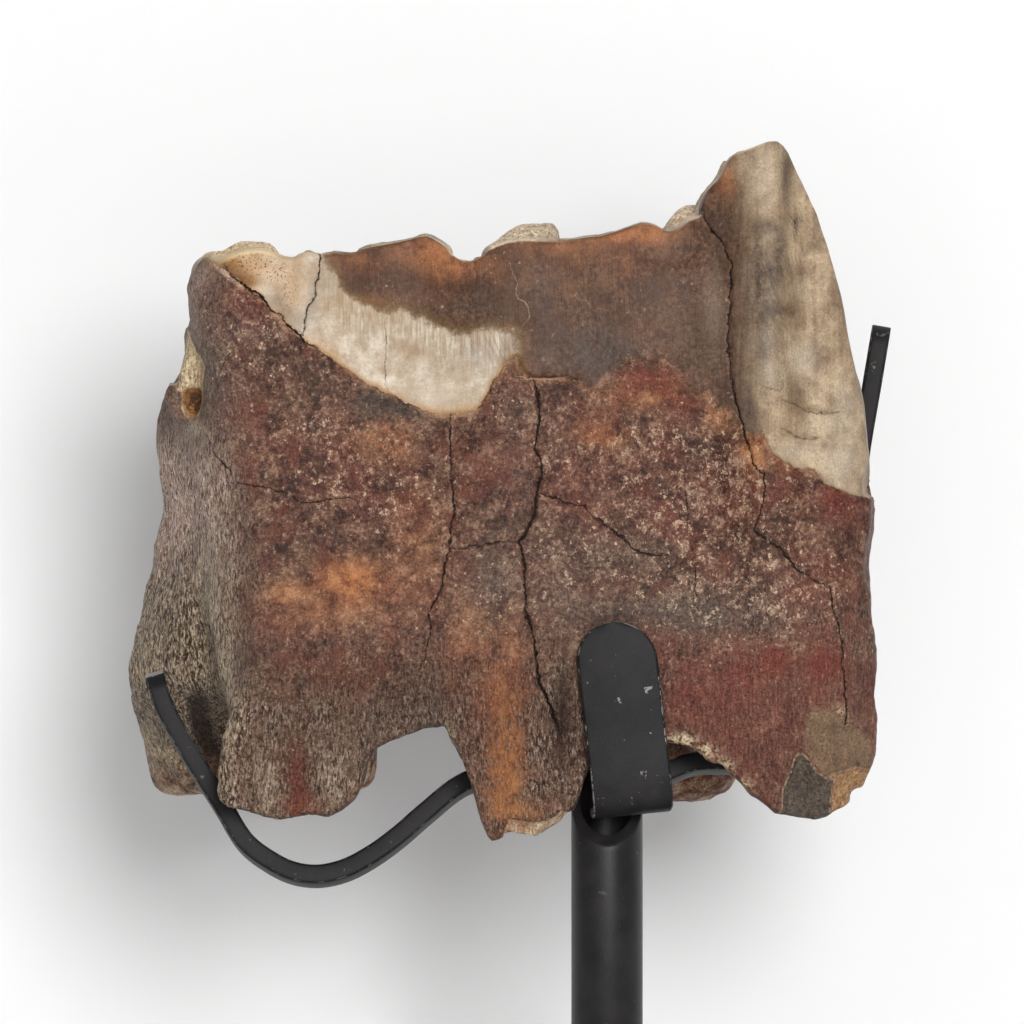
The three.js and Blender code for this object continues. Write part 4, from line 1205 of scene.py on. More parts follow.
def outerLook(s):
    # outer layer: reddish brown, clouded, with ash, red and amber fields
    outer = s.mix(0.42, s.patchy, s.fine)
    outer = s.ramp(outer, 0.41, "outerDeep", 0.468, "outerDark", 0.528, "outer", 0.588, "outerPale")
    wild = s.mix(s.remap(s.broad, 0.5, 0.62), s.mix(0.5, outer, "ash"), s.mix(0.35, outer, "amber"))
    outer = s.mix(s.mask("behind") * s.remap(abs(s.broad - 0.5), 0.03, 0.1), outer, wild)
    outer = s.mix(s.remap(s.cloud, 0.48, 0.62, 0.0, 0.55), outer, "clay")
    outer = s.layered(
        outer,
        (s.remap(s.cloud, 0.34, 0.46, 0.5, 0.0), s.mix(0.4, outer, "moss")),
        (s.glow("ash") * 0.8, s.ramp(s.fine, 0.36, "ash", 0.62, "ashPale")),
        (s.glow("dusty") * 0.75, s.ramp(s.fine, 0.36, "dusty", 0.62, "dustyPale")),
        (s.glow("red") * 0.62, "red"),
        (s.glow("amber") * 0.85, s.ramp(s.patchy, 0.35, "amber", 0.62, "amberPale")),
        # the dark glows: painted shadow and dark stains, in the shade colour
        (s.glow("dark") * 0.7, "shade"),
    )
    # crust flecks, thick in patches
    crust = s.mask("speckle") * s.remap(s.cluster, 0.44, 0.60, 0.02, 0.75)
    crust = crust + s.remap(s.fine, 0.46, 0.7, 0.0, 0.12)
    crustMask, crustShade = s.fleckField(5.6, crust)
    largeMask, largeShade = s.fleckField(3.3, crust * 0.6)
    crustColour = s.mix(crustShade, "fleck", "fleckPale")
    outer = s.layered(
        outer,
        (largeMask * s.remap(largeShade, 0, 1, 0.1, 0.7), crustColour),
        (crustMask * s.remap(crustShade, 0, 1, 0.1, 0.85), crustColour),
    )
    return outer, crustMask, crustShade


def rootLook(s, outer):
    # fibrous root and flank surface: dark pits between pale upright threads
    # the flank's khaki and rose colours are painted lighter than its own colour: painted light that makes
    # up for the shade on this side, which faces away from the lights
    khaki = s.ramp(s.fibre, 0.41, "fibreDeep", 0.46, "fibreDark", 0.52, "fibre", 0.58, "fibrePale")
    bark = s.ramp(s.fibre, 0.39, "barkDeep", 0.445, "barkDark", 0.52, "bark", 0.59, "barkPale")
    rosy = s.ramp(s.fibre, 0.40, "roseDeep", 0.48, "rose", 0.60, "rosePale")
    khaki = s.mix(s.mask("upper") * s.remap(s.cloud, 0.4, 0.55, 0.6, 0.9), khaki, rosy)
    flank = s.mask("flank")
    threadMask, threadShade = s.fleckField(6.2, s.remap(s.patchy, 0.40, 0.60, 0.12, 0.6), (1, 1, 0.45))
    # painted shade in the hollows and under the arches, together with the dark stains, laid on below in
    # the near-black hollow colour
    darkStainAndShade = s.most(s.mask("dark"), s.mask("hollow") * s.mask("behind"))
    bark = s.layered(
        bark,
        (flank * s.remap(s.cloud, 0.3, 0.5, 0.6, 1.0), khaki),
        (threadMask * s.remap(threadShade, 0.3, 1, 0.15, 0.95), s.mix(flank, "barkPale", "fibrePale")),
        (s.remap(threadShade, 0.24, 0.12) * 0.75, "fibreDeep"),
        (s.remap(darkStainAndShade, 0.25, 1.3, 0.0, 0.93), "hollow"),
        (s.remap(flank, 0, 1, s.remap(s.patchy, 0.42, 0.58, 0.4, 0.85), 0.1), outer),
        (s.glow("red") * 0.6, "redBrown"),
    )
    smoother = s.most(s.glow("amber") * 0.8, s.mask("smooth") * 0.8)
    # broken root ends: porous, ochre and cream with rusty patches, painted lighter than their own colour
    # as painted light, since they lie in shade under the tooth
    rootEnd = s.ramp(s.patchy, 0.42, "rust", 0.48, "endDark", 0.54, "end", 0.62, "endPale")
    outer = s.layered(
        outer,
        (s.mask("fibrous") * s.rest(smoother), bark),
        (s.mask("threads") * s.remap(s.fibre, 0.42, 0.54, 0.1, 0.6), "fibrePale"),
        (s.mask("rootEnd") * 0.9, rootEnd),
    )
    # soft upright bands of red-brown below on the right
    bands = s.remap(s.mix(0.5, s.streak, s.thread), 0.38, 0.62, -0.34, 0.3, False)
    torn = s.ramp(s.fine, 0.40, "ochre", 0.56, "lipPale")
    return s.layered(
        s.shaded(outer, bands * s.mask("rightRoot")),
        (s.mask("rightRoot") * 0.35, "redBrown"),
        (s.mask("torn") * s.remap(s.fine, 0.36, 0.56, 0.0, 1.2), torn),
    )


def enamelLook(s, crustMask, crustShade):
    # warm dark brown above, slate near its lower edge, orange along the rim, cream where it is clean
    stained = s.layered(
        s.ramp(s.mix(0.6, s.patchy, s.fine), 0.41, "stainDark", 0.5, "stain", 0.59, "stainPale"),
        (s.remap(s.patchy, 0.5, 0.6, 0.0, 0.5), "stainWarm"),
        (s.remap(s.cloud, 0.42, 0.6, 0.0, 0.6), "stainDark"),
        # the dark glows here: mostly dark stains, with some painted shade
        (s.glow("dark") * 0.6, "stainDark"),
        (s.glow("rim") * 0.9, s.ramp(s.patchy, 0.35, "rim", 0.65, "rimPale")),
        (crustMask * s.remap(crustShade, 0.7, 0.9, 0.0, 0.6), "fleckPale"),
    )
    creamLook = s.mix(s.mask("comb") * 0.36, s.mix(0.4, s.patchy, s.cloudy), s.thread)
    creamLook = creamLook + s.remap(s.mask("stain"), -9.0, -2.0, 0.12, -0.03)
    warm = s.mask("warm")
    cream = s.layered(
        s.ramp(creamLook, 0.38, "cream", 0.5, "creamMid", 0.60, "creamPale"),
        (warm * 0.6, "creamWarm"),
        (s.remap(s.mask("enamel"), -0.7, -0.05, 0.0, 0.75), "creamWarm"),
        (s.glow("rim") * 0.8, "ochre"),
        # darker ochre just inside the outer layer's edge: painted shade below the layer's raised edge,
        # with ochre stain
        (s.remap(s.mask("enamel"), -1.9, -0.1, 0.0, 0.8) * s.remap(warm, 0.2, 0.8), "ochreDark"),
        (s.remap(s.grain, 0.36, 0.41, 0.9, 0.0) * s.remap(warm, 0.5, 0.9), "creamSpeck"),
    )
    columnLook = s.mix(0.18, s.mix(0.5, s.patchy, s.cloud), s.streak)
    column = s.ramp(columnLook, 0.36, "columnDark", 0.46, "column", 0.55, "columnMid", 0.66, "columnPale")
    softStain = s.mask("stain") + s.sway(s.streak, 0.12) + s.sway(s.patchy, 0.6)
    oliveLine = s.remap(softStain, -0.5, 0.0) * s.fall(softStain, 0.0, 0.9)
    enamel = s.layered(
        stained,
        (s.fall(softStain, -0.5, 0.3), cream),
        (oliveLine * 0.6, "olive"),
        (s.fall(s.mask("column") + s.sway(s.streak, 0.8), -1.6, 2.2), column),
    )
    streaks = s.mask("fan") * s.remap(s.fan, 0.40, 0.60, -0.24, 0.24, False)
    slate = s.glow("slate", 0.38, 0.54, 0.4) * 0.9
    enamel = s.layered(
        s.shaded(enamel, streaks),
        (s.glow("smudge", 0.38, 0.55, 0.3), "smudge"),
        (s.mask("pearl") * 0.7, "pearl"),
        (slate, s.ramp(s.fine, 0.32, "slate", 0.66, "slatePale")),
    )
    return enamel, softStain, slate


def outerEdge(s):
    # the outer layer ends in a broken edge with a thin pale line, or fades out where it was thin
    soft = s.mask("soft")
    fade = s.remap(soft, 0, 1, 0.05, 1.0, False)
    edge = s.mask("enamel") + (s.sway(s.fine, 0.14) + soft * s.sway(s.patchy, 1.3))
    outerShare = s.remap(edge, fade * -1.0, fade)
    pale = s.remap(s.mask("warm"), 0.1, 0.6)
    fringe = s.remap(edge, -0.02, 0.05) * s.fall(edge, 0.1, 0.5) * s.remap(soft, 0, 1, 0.8, 0.25)
    fringe = fringe * s.most(s.remap(s.patchy, 0.42, 0.56), pale)
    return outerShare, fringe, s.mix(pale, "fringe", "fringePale")


def brokenLook(s, colour):
    # the lip, its pit, the chipped corner and the wedge at a root tip
    # towards the pit's middle the colour turns to the dark shade colour: painted shade in the pit
    pitDepth = s.remap(s.mask("pit") + s.remap(s.fine, 0.3, 0.7, -0.3, 0.3), -0.7, -0.2, 0.15, 1.0)
    lower = s.least(s.mask("chipTan"), s.mask("chipGrey"))
    chipped = s.least(s.mask("chip") + s.sway(s.patchy, 0.7), lower)
    chip = s.layered(
        s.ramp(s.patchy, 0.36, "chipBrown", 0.62, "chipPale"),
        (s.fall(s.mask("chipTan"), -0.15, 0.15), s.ramp(s.fine, 0.36, "chipTan", 0.62, "chipTanPale")),
        (s.fall(s.mask("chipGrey"), -0.15, 0.15), s.ramp(s.fine, 0.36, "chipGrey", 0.64, "chipGreyPale")),
    )
    return s.layered(
        colour,
        (s.fall(s.mask("lip"), -0.1, 0.1), s.ramp(s.fibre, 0.36, "lipDark", 0.5, "lip", 0.64, "lipPale")),
        (s.fall(s.mask("pit"), -0.3, 0.1), s.mix(pitDepth, "shade", "pitOchre")),
        (s.fall(chipped, -0.25, 0.15), chip),
        # a pale line along the edges of the lower chips: a painted highlight
        (s.remap(abs(lower), 0.03, 0.16, 0.8, 0.0) * s.remap(s.fine, 0.42, 0.54), "chipEdgeHighlight"),
        (s.fall(s.mask("wedge"), -0.06, 0.06), s.ramp(s.patchy, 0.38, "wedge", 0.56, "wedgePale")),
    )


def chewingLook(s, colour):
    # pale enamel ridges round brown dentine, and a front rim, dark except where it broke
    crest = s.mask("crest") * 0.9
    crestLook = s.mix(s.mask("warm"), "crestPale", "crestWarm")
    worn = s.layered(
        s.ramp(s.fine, 0.36, "dentine", 0.64, "dentinePale"),
        (s.mask("ridge"), s.ramp(s.patchy, 0.36, "ridge", 0.62, "ridgePale")),
        (s.mask("front") * s.rest(s.mask("crest")), s.mix(s.glow("rim"), "stainWarm", "rim")),
        (crest, s.mix(s.remap(s.fine, 0.38, 0.56), "crestDark", crestLook)),
    )
    colour = s.mix(s.mask("chewing"), colour, worn)
    rimLook = s.mix(crest, s.mix(0.5, colour, "rimShade"), crestLook)
    return s.mix(s.mask("rimTop") * s.remap(s.fine, 0.3, 0.5, 0.6, 1.0), colour, rimLook)


def grainAndCracks(s, colour, strength):
    # fine grain all over, then painted shade along the sides of the cracks, then the cracks
    specks = s.remap(s.grain, 0.57, 0.67, 0.0, 0.42) + s.remap(s.grain, 0.33, 0.43, -0.42, 0.0)
    offCrack = abs(s.mask("crackAway") + s.sway(s.jag, 0.1)) - s.mask("crackHalf")
    return s.layered(
        s.shaded(colour, specks * strength),
        # painted shade beside each crack
        (s.remap(offCrack, -0.02, 0.12, 0.16, 0.0) * s.remap(s.mask("crackHalf"), 0.0, 0.02), "shade"),
        (s.fall(offCrack, -0.02, 0.025), s.mix(s.mask("crackPale"), "crack", "paleLine")),
    )


def fossilMaterial():
    material, surface = newMaterial("fossilTooth")
    s = ToothNodes(material.node_tree)
    outer, crustMask, crustShade = outerLook(s)
    enamel, softStain, slate = enamelLook(s, crustMask, crustShade)
    outerShare, fringe, fringeColour = outerEdge(s)
    colour = s.layered(enamel, (outerShare, rootLook(s, outer)), (fringe, fringeColour))
    colour = chewingLook(s, brokenLook(s, colour))
    strength = s.most(s.remap(outerShare, 0, 1, 0.22, 1.0), s.remap(softStain, -0.5, 0.3, 0.0, 0.5))
    strength = s.most(strength, slate * 0.7) * s.rest(s.glow("amber") * 0.6)
    s.put(surface.inputs["Base Color"], grainAndCracks(s, colour, strength))

    enamelRough = s.remap(s.fine, 0.3, 0.7, *toothGloss["enamel"])
    outerRough = s.remap(s.fibre, 0.3, 0.7, *toothGloss["outer"])
    roughness = s.mix(outerShare, enamelRough, outerRough)
    roughness = s.mix(s.mask("rimTop"), roughness, (toothGloss["rim"],) * 3)
    s.put(surface.inputs["Roughness"], roughness)
    surface.inputs["Specular IOR Level"].default_value = toothGloss["specular"]

    height = s.fibre * s.remap(s.mask("fibrous"), 0.0, 1.0, 0.2, 2.4) + s.fine * 0.5 + s.grain * 0.16
    height = height * s.remap(s.mask("enamel"), -0.2, 0.2, 0.3, 1.0)
    height = height + s.thread * s.remap(s.mask("comb"), 0.0, 1.0, 0.0, 0.14)
    s.bump(surface, height, 1.0, toothGloss["bump"])
    return material


def makeTooth():
    points, faces = makeToothSurface()
    points, masks = dressTooth(points, faces)
    made = meshObject("fossilTooth", onStand(points), faces)
    for name, values in masks.items():
        addMask(made, name, values)
    made.data.materials.append(fossilMaterial())
    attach(made, "root")
    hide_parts("tooth")
    print("stage: tooth,", len(faces), "triangles")


makeTooth()


# The stand's sizes are in mm. Each paint is the width of its worn edges, scuffs, roughness and shine.
strips = {"stops": 300, "edgeRadius": 0.28, "pathSteps": 16}


def smoothPath(points):
    # a centripetal curve through the points, as close-set places
    p = np.array(points, float)
    p = np.vstack([2 * p[0] - p[1], p, 2 * p[-1] - p[-2]])
    gaps = np.sqrt(np.linalg.norm(np.diff(p, axis=0), axis=1))
    made = []
    for i in range(1, len(p) - 2):
        x0, x1, x2, x3 = p[i - 1:i + 3]
        d0, d1, d2 = gaps[i - 1:i + 2]
        t1 = ((x1 - x0) / d0 - (x2 - x0) / (d0 + d1) + (x2 - x1) / d1) * d1
        t2 = ((x2 - x1) / d1 - (x3 - x1) / (d1 + d2) + (x3 - x2) / d2) * d1
        for u in np.arange(strips["pathSteps"]) / strips["pathSteps"]:
            squared, cubed = -3 * x1 + 3 * x2 - 2 * t1 - t2, 2 * x1 - 2 * x2 + t1 + t2
            made.append(x1 + t1 * u + squared * u**2 + cubed * u**3)
    return np.array([*made, p[-2]])


def stripTree():
    # a flat strip with eased edges and round ends, swept along the curve that it is given
    t = newTree("GeometryNodeTree", "bentStrip", {
        "Geometry": "Geometry", "Width": "Float", "Thickness": "Float", "Edge Radius": "Float",
        "Stops": "Int", "Across": "Vector", "Round Start": "Float", "Bare Start": "Float",
        "Material": "Material",
    }, {"Geometry": "Geometry"})
    path, width, thickness, edgeRadius, stops, across, roundStart, bareStart, material = t.given
    section = t.node("CurvePrimitiveQuadrilateral", {"Width": width, "Height": thickness})["Curve"]
    fillet = {"Curve": section, "Radius": edgeRadius, "Count": 4}
    section = t.node("FilletCurve", fillet, mode="POLY")["Curve"]
    section = t.node("SubdivideCurve", {"Curve": section, "Cuts": 1})["Curve"]
    line = t.node("CurvePrimitiveLine", {"End": (0, 0, 1)})["Curve"]
    line = t.node("ResampleCurve", {"Curve": line, "Count": stops})["Curve"]
    tube = t.node("CurveToMesh", {"Curve": line, "Profile Curve": section, "Fill Caps": True})["Mesh"]
    place = t.node("SeparateXYZ", {0: t.node("InputPosition")[0]})
    # stops stand closer together towards both ends
    along = (1.0 - t.math("COSINE", place["Z"] * math.pi)) * 0.5
    sample = t.node("SampleCurve", {
        "Curves": path, "Value": t.node("InputRadius")["Radius"], "Factor": along,
    }, mode="FACTOR", use_all_curves=True, data_type="FLOAT")
    length = t.node("CurveLength", {"Curve": path})["Length"]
    half = width * 0.5

    def roundEnd(distance):
        near = 1.0 - t.math("DIVIDE", distance, half, True)
        return t.math("SQRT", t.most(1.0 - near * near, 0.0004))

    fromStart = along * length
    start = t.most(roundEnd(fromStart), 1.0 - roundStart)
    share = t.least(t.least(start, roundEnd(length - fromStart)), sample["Value"])
    out = t.vector("NORMALIZE", t.vector("CROSS_PRODUCT", across, sample["Tangent"]))
    side = place["X"] * share
    moved = t.vector("ADD", sample["Position"], t.vector("SCALE", across, scale=side))
    moved = t.vector("ADD", moved, t.vector("SCALE", out, scale=place["Y"]))
    # how far each point lies from the nearest long edge, in mm, for the worn paint
    edge = t.most(half * share - abs(side), thickness * 0.5 - abs(place["Y"]))
    edge = t.least(edge, t.most(fromStart - bareStart, -0.0001)) * 1000.0
    tube = t.node("StoreNamedAttribute", {"Geometry": tube, "Name": "edge", "Value": edge},
                  data_type="FLOAT", domain="POINT")["Geometry"]
    for kind, inputs in (
        ("SetPosition", {"Position": moved}), ("SetShadeSmooth", {"Shade Smooth": True}),
        ("RealizeInstances", {}), ("SetMaterial", {"Material": material}),
    ):
        tube = t.node(kind, {"Geometry": tube, **inputs})["Geometry"]
    t.put(t.result["Geometry"], tube)
    return t.tree


def curveObject(name, places, shares):
    curve = bpy.data.curves.new(name, "CURVE")
    curve.dimensions = "3D"
    spline = curve.splines.new("POLY")
    spline.points.add(len(places) - 1)
    for point, place, share in zip(spline.points, places, shares):
        point.co = (*place, 1.0)
        point.radius = share
    made = bpy.data.objects.new(name, curve)
    bpy.context.scene.collection.objects.link(made)
    return made


def grownMesh(made, tree, values):
    # puts the tree on an object, and gives back what it makes as a plain mesh object
    modifier = made.modifiers.new(tree.name, "NODES")
    modifier.node_group = tree
    sockets = {item.name: item.identifier for item in tree.interface.items_tree if item.in_out == "INPUT"}
    for label, value in values.items():
        modifier[sockets[label]] = value
    bpy.context.view_layer.update()
    seen = made.evaluated_get(bpy.context.evaluated_depsgraph_get())
    mesh = bpy.data.meshes.new_from_object(seen)
    name = made.name
    made.modifiers.remove(modifier)
    bpy.data.objects.remove(made)
    grown = bpy.data.objects.new(name, mesh)
    bpy.context.scene.collection.objects.link(grown)
    return grown


def wearGroup():
    # worn paint: bare bright metal along edges, small scuffs, and a fine orange-peel height
    s = newTree("ShaderNodeTree", "paintWear",
                {"Place": "Vector", "Edge": "Float", "Edge Width": "Float", "Scuffs": "Float"},
                {"Bare": "Float", "Tone": "Float", "Height": "Float"})
    place, edge, edgeWidth, scuffs = s.given
    reach = edgeWidth * s.remap(s.noise(place, 0.9, 5, 0.75), 0.40, 0.60, 0.0, 1.6)
    worn = s.remap(reach - edge, 0.0, 0.06)
    specks = s.remap(s.noise(place, 1.9, 3, 0.8), 0.69, 0.73)
    marks = s.remap(s.noise(place, 0.85, 4, 0.7), 0.67, 0.70, 0.0, 0.6)
    s.put(s.result["Bare"], s.most(worn, s.most(specks, marks) * scuffs))
    s.put(s.result["Tone"], s.noise(place, 0.35, 3, 0.6))
    s.put(s.result["Height"], s.noise(place, 5.0, 3, 0.6))
    return s.tree


paintLook = {
    "dark": (26, 25, 25),  # screen colours
    "pale": (38, 36, 36),
    "bareMetal": (150, 147, 144),
    "metallic": 0.8,
    "glossRange": 0.14,
    "bump": 0.00004,  # m
}


def paintMaterial(name, group, edgeWidth, scuffs, gloss, shine):
    material, surface = newMaterial(name)
    s = Nodes(material.node_tree)
    wear = s.node("Group", {
        "Place": s.place(), "Edge": s.mask("edge"), "Edge Width": edgeWidth, "Scuffs": scuffs,
    }, node_tree=group)
    paint = s.ramp(wear["Tone"], 0.35, srgb(*paintLook["dark"]), 0.65, srgb(*paintLook["pale"]))
    s.put(surface.inputs["Base Color"], s.mix(wear["Bare"], paint, srgb(*paintLook["bareMetal"])))
    s.put(surface.inputs["Metallic"], wear["Bare"] * paintLook["metallic"])
    duller = gloss + paintLook["glossRange"]
    s.put(surface.inputs["Roughness"], s.mix(wear["Tone"], (gloss,) * 3, (duller,) * 3))
    s.put(surface.inputs["Specular IOR Level"], shine)
    s.bump(surface, wear["Height"] - wear["Bare"], 0.5, paintLook["bump"])
    return material


def finishPiece(made, node):
    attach(made, "root")
    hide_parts(node)


def makeStrip(name, node, piece, shares, across, tree, paint):
    places = smoothPath(piece["path"])
    along = np.interp(np.arange(len(places)) / strips["pathSteps"], np.arange(len(shares)), shares)
    grown = grownMesh(curveObject(name, onStand(places), along), tree, {
        "Width": piece["width"] / 1000, "Thickness": piece["thickness"] / 1000,
        "Edge Radius": strips["edgeRadius"] / 1000, "Stops": strips["stops"], "Across": across,
        "Round Start": piece["roundStart"], "Bare Start": piece["bareStart"] / 1000, "Material": paint,
    })
    finishPiece(grown, node)


cradle = {
    "width": 4.2,
    "thickness": 1.6,
    "tilt": 9.0,  # degrees
    "roundStart": 1.0,
    "bareStart": 0.4,
    "paint": (0.08, 0.5, 0.46, 0.14),
    "path": [  # the strip's middle, from the post's axis and the lowest root tip
        (-38.2, 3.0, 14.0), (-37.2, 2.9, 10.9), (-35.9, 2.7, 8.5), (-34.3, 2.6, 5.8), (-32.4, 2.6, 2.8),
        (-30.4, 2.7, -0.4), (-28.5, 2.8, -1.9), (-26.5, 3.0, -2.9), (-24.3, 3.3, -3.2), (-22.0, 3.6, -2.7),
        (-19.7, 4.0, -1.5), (-17.5, 4.4, 0.1), (-15.3, 4.8, 2.0), (-12.0, 5.2, 4.5), (-8.0, 5.4, 5.5),
        (-4.0, 5.4, 5.2), (0.5, 5.4, 4.7), (4.0, 5.5, 5.0), (7.5, 5.9, 6.2), (12.0, 6.9, 6.2),
        (16.6, 8.6, 6.2), (19.2, 9.8, 7.8), (20.3, 10.6, 11.0), (20.9, 11.3, 18.0), (21.1, 11.8, 26.0),
        (21.7, 12.0, 32.0), (22.7, 12.0, 38.0), (23.6, 12.0, 43.4),
    ],
}


def makeCradle(tree, paint):
    tilt = math.radians(cradle["tilt"])
    across = (0.0, math.cos(tilt), -math.sin(tilt))
    makeStrip("cradleStrip", "cradle", cradle, [1.0] * len(cradle["path"]), across, tree, paint)


clip = {
    "width": 6.7,
    "thickness": 0.9,
    "tilt": 0.1,  # rise over run
    "roundStart": 0.0,
    "bareStart": 0.0,
    "paint": (0.12, 1.0, 0.46, 0.14),
    "tailWidth": 5.4,
    "path": [
        (2.1, 1.1, 6.0), (2.1, 0.2, 4.9), (2.1, -0.8, 3.8), (2.0, -2.2, 3.0), (1.9, -3.8, 2.75),
        (2.0, -5.2, 2.75), (2.1, -6.3, 3.2), (2.0, -6.75, 4.6), (1.5, -6.9, 9.0), (0.8, -7.1, 15.0),
        (0.3, -7.05, 18.4),
    ],
}


def makeClip(tree, paint):
    # narrow where it is tucked into the post, wide in front of the tooth
    shares = [clip["tailWidth"] / clip["width"]] * 3 + [0.9] + [1.0] * 7
    across = tuple(np.array([1.0, 0.0, clip["tilt"]]) / math.hypot(1.0, clip["tilt"]))
    makeStrip("frontClip", "front_clip", clip, shares, across, tree, paint)


def ringsObject(name, rings, closeStart, closeEnd):
    # rings of points with the same count, joined one to the next
    n = len(rings[0])
    points = [p for ring in rings for p in ring]
    faces = []
    for i in range(len(rings) - 1):
        for j in range(n):
            a, b = i * n + j, i * n + (j + 1) % n
            faces += [(a, b, b + n), (a, b + n, a + n)]
    for close, first, flip in ((closeStart, 0, True), (closeEnd, (len(rings) - 1) * n, False)):
        if close:
            points.append(tuple(np.mean(points[first:first + n], axis=0)))
            for j in range(n):
                a, b = first + j, first + (j + 1) % n
                faces.append((b, a, len(points) - 1) if flip else (a, b, len(points) - 1))
    return meshObject(name, points, faces)


def quarter(steps=4):
    # (along, across) shares of a rounded edge, from 0, 0 to 1, 1
    turns = [math.pi / 2 * i / steps for i in range(steps + 1)]
    return [(math.sin(turn), 1 - math.cos(turn)) for turn in turns]


post = {
    "radius": 3.0,
    "wall": 0.8,
    "foot": 2.0,  # above the table, in the base's socket
    "top": 6.6,  # above the lowest root tip
    "cutFront": -0.4,
    "cutSlope": 1.25,
    "rimRound": 0.14,
    "sides": 128,
    "paint": (0.03, 0.2, 0.36, 0.22),
    # how far each ring of points lies from an edge that wears
    "offEdge": [9.0, 1.2, 0.5, *[0.1] * 5, *[0.5] * 5, 0.6, 9.0, 9.0],
}


def makePost(material):
    outer, rim = post["radius"], post["rimRound"]
    inner = outer - post["wall"]
    turns = [2 * math.pi * j / post["sides"] for j in range(post["sides"])]

    def ring(radius, drop):
        # a ring at a drop below the slanting cut, or with no drop at the foot
        made = []
        for x, y in ((radius * math.cos(a), radius * math.sin(a)) for a in turns):
            cut = min(post["top"], post["cutFront"] + post["cutSlope"] * (y + outer))
            made.append((x, y, post["foot"] - toothLift if drop is None else cut - drop))
        return made

    rings = [ring(outer, None), ring(outer, 1.2), ring(outer, 0.5)]
    rings += [ring(outer - rim * across, rim * (1 - along)) for along, across in quarter()]
    rings += [ring(inner + rim * (1 - along), rim * across) for along, across in quarter()]
    rings += [ring(inner, 0.6), ring(inner, None), ring(outer, None)]
    made = ringsObject("standPost", [onStand(r) for r in rings], False, False)
    addMask(made, "edge", np.repeat(post["offEdge"], len(turns)))
    mergeDoubles(made)
    made.data.materials.append(material)
    finishPiece(made, "post")


base = {
    "side": 84.0,
    "height": 7.0,
    "corner": 5.0,
    "bevel": 0.8,
    "holeGap": 0.3,  # round the post
    "sides": 512,
    "paint": (0.1, 0.15, 0.42, 0.22),
    "offEdge": [
        0.6, 0.3, 0, 0, 0, 0.3, 0.6, 0.6, 0.3, 0, 0, 0, 0.3, 0.6, 1.0, 3.0, 9.0, 0.4, 0.1, 0.1, 9.0,
    ],
}


def makeBase(material):
    half, height, bevel = base["side"] / 2, base["height"], base["bevel"]
    corner, hole = base["corner"] + bevel, post["radius"] + base["holeGap"]
    turns = [2 * math.pi * j / base["sides"] for j in range(base["sides"])]

    def squareRing(inset, z):
        side, r = half - inset, corner - inset
        ring = []
        for a in turns:
            c, d = abs(math.cos(a)), abs(math.sin(a))
            reach = side / max(c, d)
            if min(c, d) * reach > side - r:
                m = (side - r) * (c + d)
                reach = m + math.sqrt(m * m - 2 * (side - r) ** 2 + r * r)
            ring.append((reach * math.cos(a), reach * math.sin(a), z))
        return ring

    def roundRing(radius, z):
        return [(radius * math.cos(a), radius * math.sin(a), z) for a in turns]

    rings = [squareRing(bevel * (1 - along), bevel * across) for along, across in quarter(6)]
    rings += [squareRing(bevel * across, height - bevel * (1 - along)) for along, across in quarter(6)]
    rings += [squareRing(bevel + 0.4, height), squareRing(bevel + 3, height), roundRing(20, height)]
    rings += [roundRing(hole + 0.5, height), roundRing(hole + 0.2, height), roundRing(hole, height - 0.2)]
    rings += [roundRing(hole, post["foot"])]
    made = ringsObject("standBase", np.array(rings) / 1000, True, True)
    addMask(made, "edge", [*np.repeat(base["offEdge"], len(turns)), farAway, farAway])
    made.data.materials.append(material)
    finishPiece(made, "base")


def mergeDoubles(made):
    work = bmesh.new()
    work.from_mesh(made.data)
    bmesh.ops.remove_doubles(work, verts=work.verts, dist=1e-7)
    work.to_mesh(made.data)
    work.free()


def makeStand():
    wear = wearGroup()
    tree = stripTree()
    makeCradle(tree, paintMaterial("cradlePaint", wear, *cradle["paint"]))
    makeClip(tree, paintMaterial("clipPaint", wear, *clip["paint"]))
    makePost(paintMaterial("postPaint", wear, *post["paint"]))
    makeBase(paintMaterial("basePaint", wear, *base["paint"]))
    print("stage: stand")


makeStand()


studio = {
    "wallDepth": 0.075,  # the pale wall behind, m
    "wallHalfWidth": 0.6,
    "wallHeight": 0.6,
    "sweep": 0.03,
    "floorFront": -2.5,
    "floorBack": 2.5,
    "floorDrop": 0.0005,  # of the floor behind the wall
    "sweepSteps": 16,
}


def paleMaterial():
    # the wall only shows from the front, so that the back can be looked at
    material, surface = newMaterial("paleStudio")
    s = Nodes(material.node_tree)
    look = {"Base Color": srgb(246, 246, 246), "Roughness": 0.9, "Specular IOR Level": 0.1}
    for name, value in look.items():
        s.put(surface.inputs[name], value)
    solid, clear = Value(s, surface.outputs["BSDF"]), s.node("BsdfTransparent")["BSDF"]
    mixed = s.node("MixShader", {0: s.node("NewGeometry")["Backfacing"], 1: solid, 2: clear})
    s.put(s.tree.nodes["Material Output"].inputs["Surface"], mixed["Shader"])
    return material


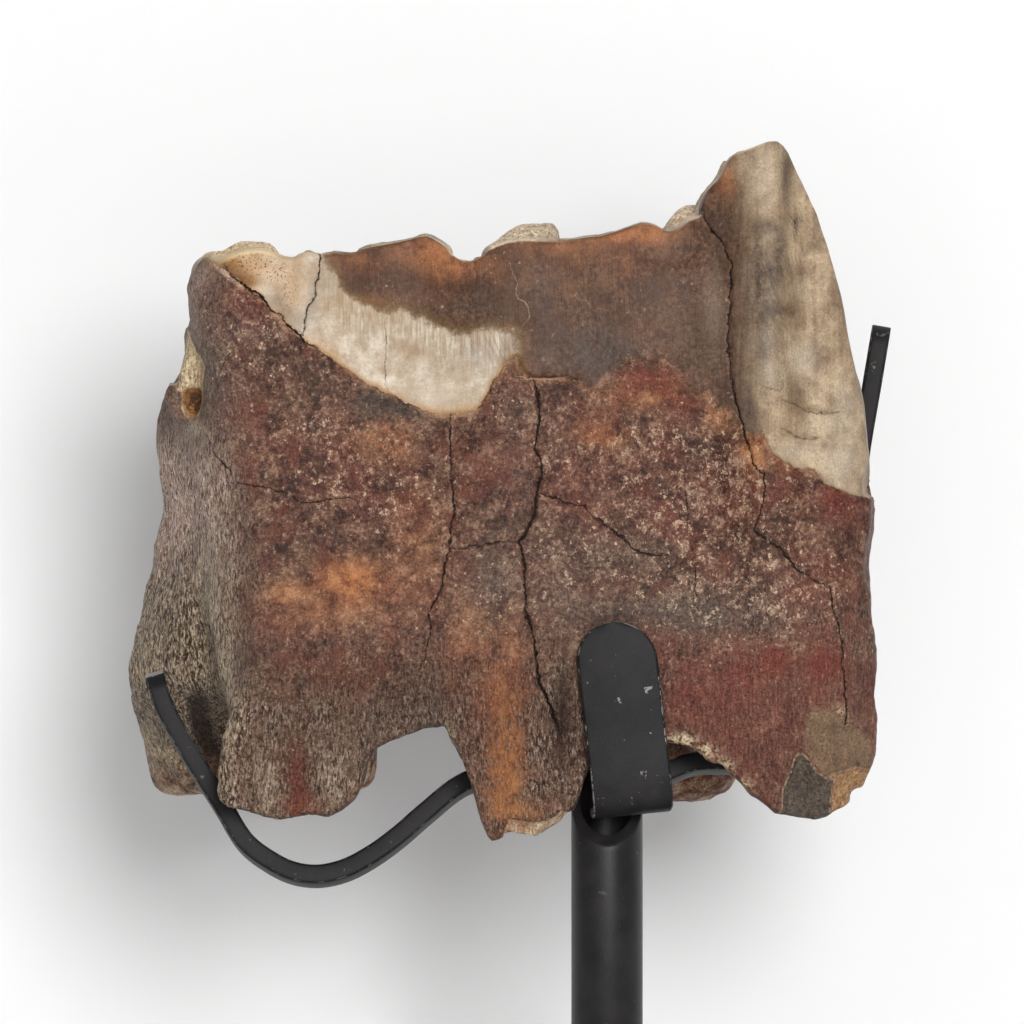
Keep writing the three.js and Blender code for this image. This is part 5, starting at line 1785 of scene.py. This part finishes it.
def makeStudio():
    back, width, top, sweep = (studio[k] for k in ("wallDepth", "wallHalfWidth", "wallHeight", "sweep"))
    profile = [(studio["floorFront"], 0.0), (back - sweep, 0.0)]
    for i in range(1, studio["sweepSteps"] + 1):
        turn = math.pi / 2 * i / studio["sweepSteps"]
        profile.append((back - sweep + sweep * math.sin(turn), sweep * (1 - math.cos(turn))))
    profile.append((back, top))
    points, faces = [], []
    for y, z in profile:
        points += [(-width, y, z), (width, y, z)]
    for i in range(len(profile) - 1):
        a = 2 * i
        faces += [(a, a + 1, a + 3), (a, a + 3, a + 2)]
    # the floor goes on behind the wall
    behind, below = back - 1.1 * sweep, -studio["floorDrop"]
    points += [(x, y, below) for y in (behind, studio["floorBack"]) for x in (-width, width)]
    n = len(points) - 4
    faces += [(n, n + 1, n + 3), (n, n + 3, n + 2)]
    floor = meshObject("studioFloor", points, faces)
    floor.data.materials.append(paleMaterial())


# round lights that look at the tooth: place in m, width, power
lights = {
    "key": ((0.115, -0.85, 0.215), 0.22, 5.1),
    "fill": ((0.0, -0.8, 0.1), 0.5, 2.0),
    "top": ((0.05, -0.1, 0.9), 0.5, 1.0),
    "back": ((-0.3, 0.9, 0.5), 0.6, 3.0),
}
lightAim = (0, 0, 0.085)
worldStrength = 0.1


def makeLights():
    world = bpy.data.worlds.new("studioWorld")
    world.use_nodes = True
    background = world.node_tree.nodes["Background"]
    background.inputs["Color"].default_value = (1, 1, 1, 1)
    background.inputs["Strength"].default_value = worldStrength
    bpy.context.scene.world = world
    for name, (place, width, power) in lights.items():
        data = bpy.data.lights.new(name, "AREA")
        data.shape = "DISK"
        data.size = width
        data.energy = power
        light = bpy.data.objects.new(name, data)
        light.location = place
        light.rotation_euler = (Vector(lightAim) - Vector(place)).to_track_quat("-Z", "Y").to_euler()
        bpy.context.scene.collection.objects.link(light)


def makeCamera():
    data = bpy.data.cameras.new("frontView")
    data.lens = data.sensor_width * view["eyeDistance"] / (view["viewSize"] * view["step"])
    data.clip_start, data.clip_end = 0.01, 20
    camera = bpy.data.objects.new("frontView", data)
    camera.location = (eyeX / 1000, -view["eyeDistance"] / 1000, (toothLift + eyeZ) / 1000)
    camera.rotation_euler = (math.pi / 2, 0, 0)
    bpy.context.scene.collection.objects.link(camera)
    bpy.context.scene.camera = camera


makeStudio()
makeLights()
makeCamera()
bpy.context.scene.view_settings.view_transform = "Standard"
print("stage: studio")
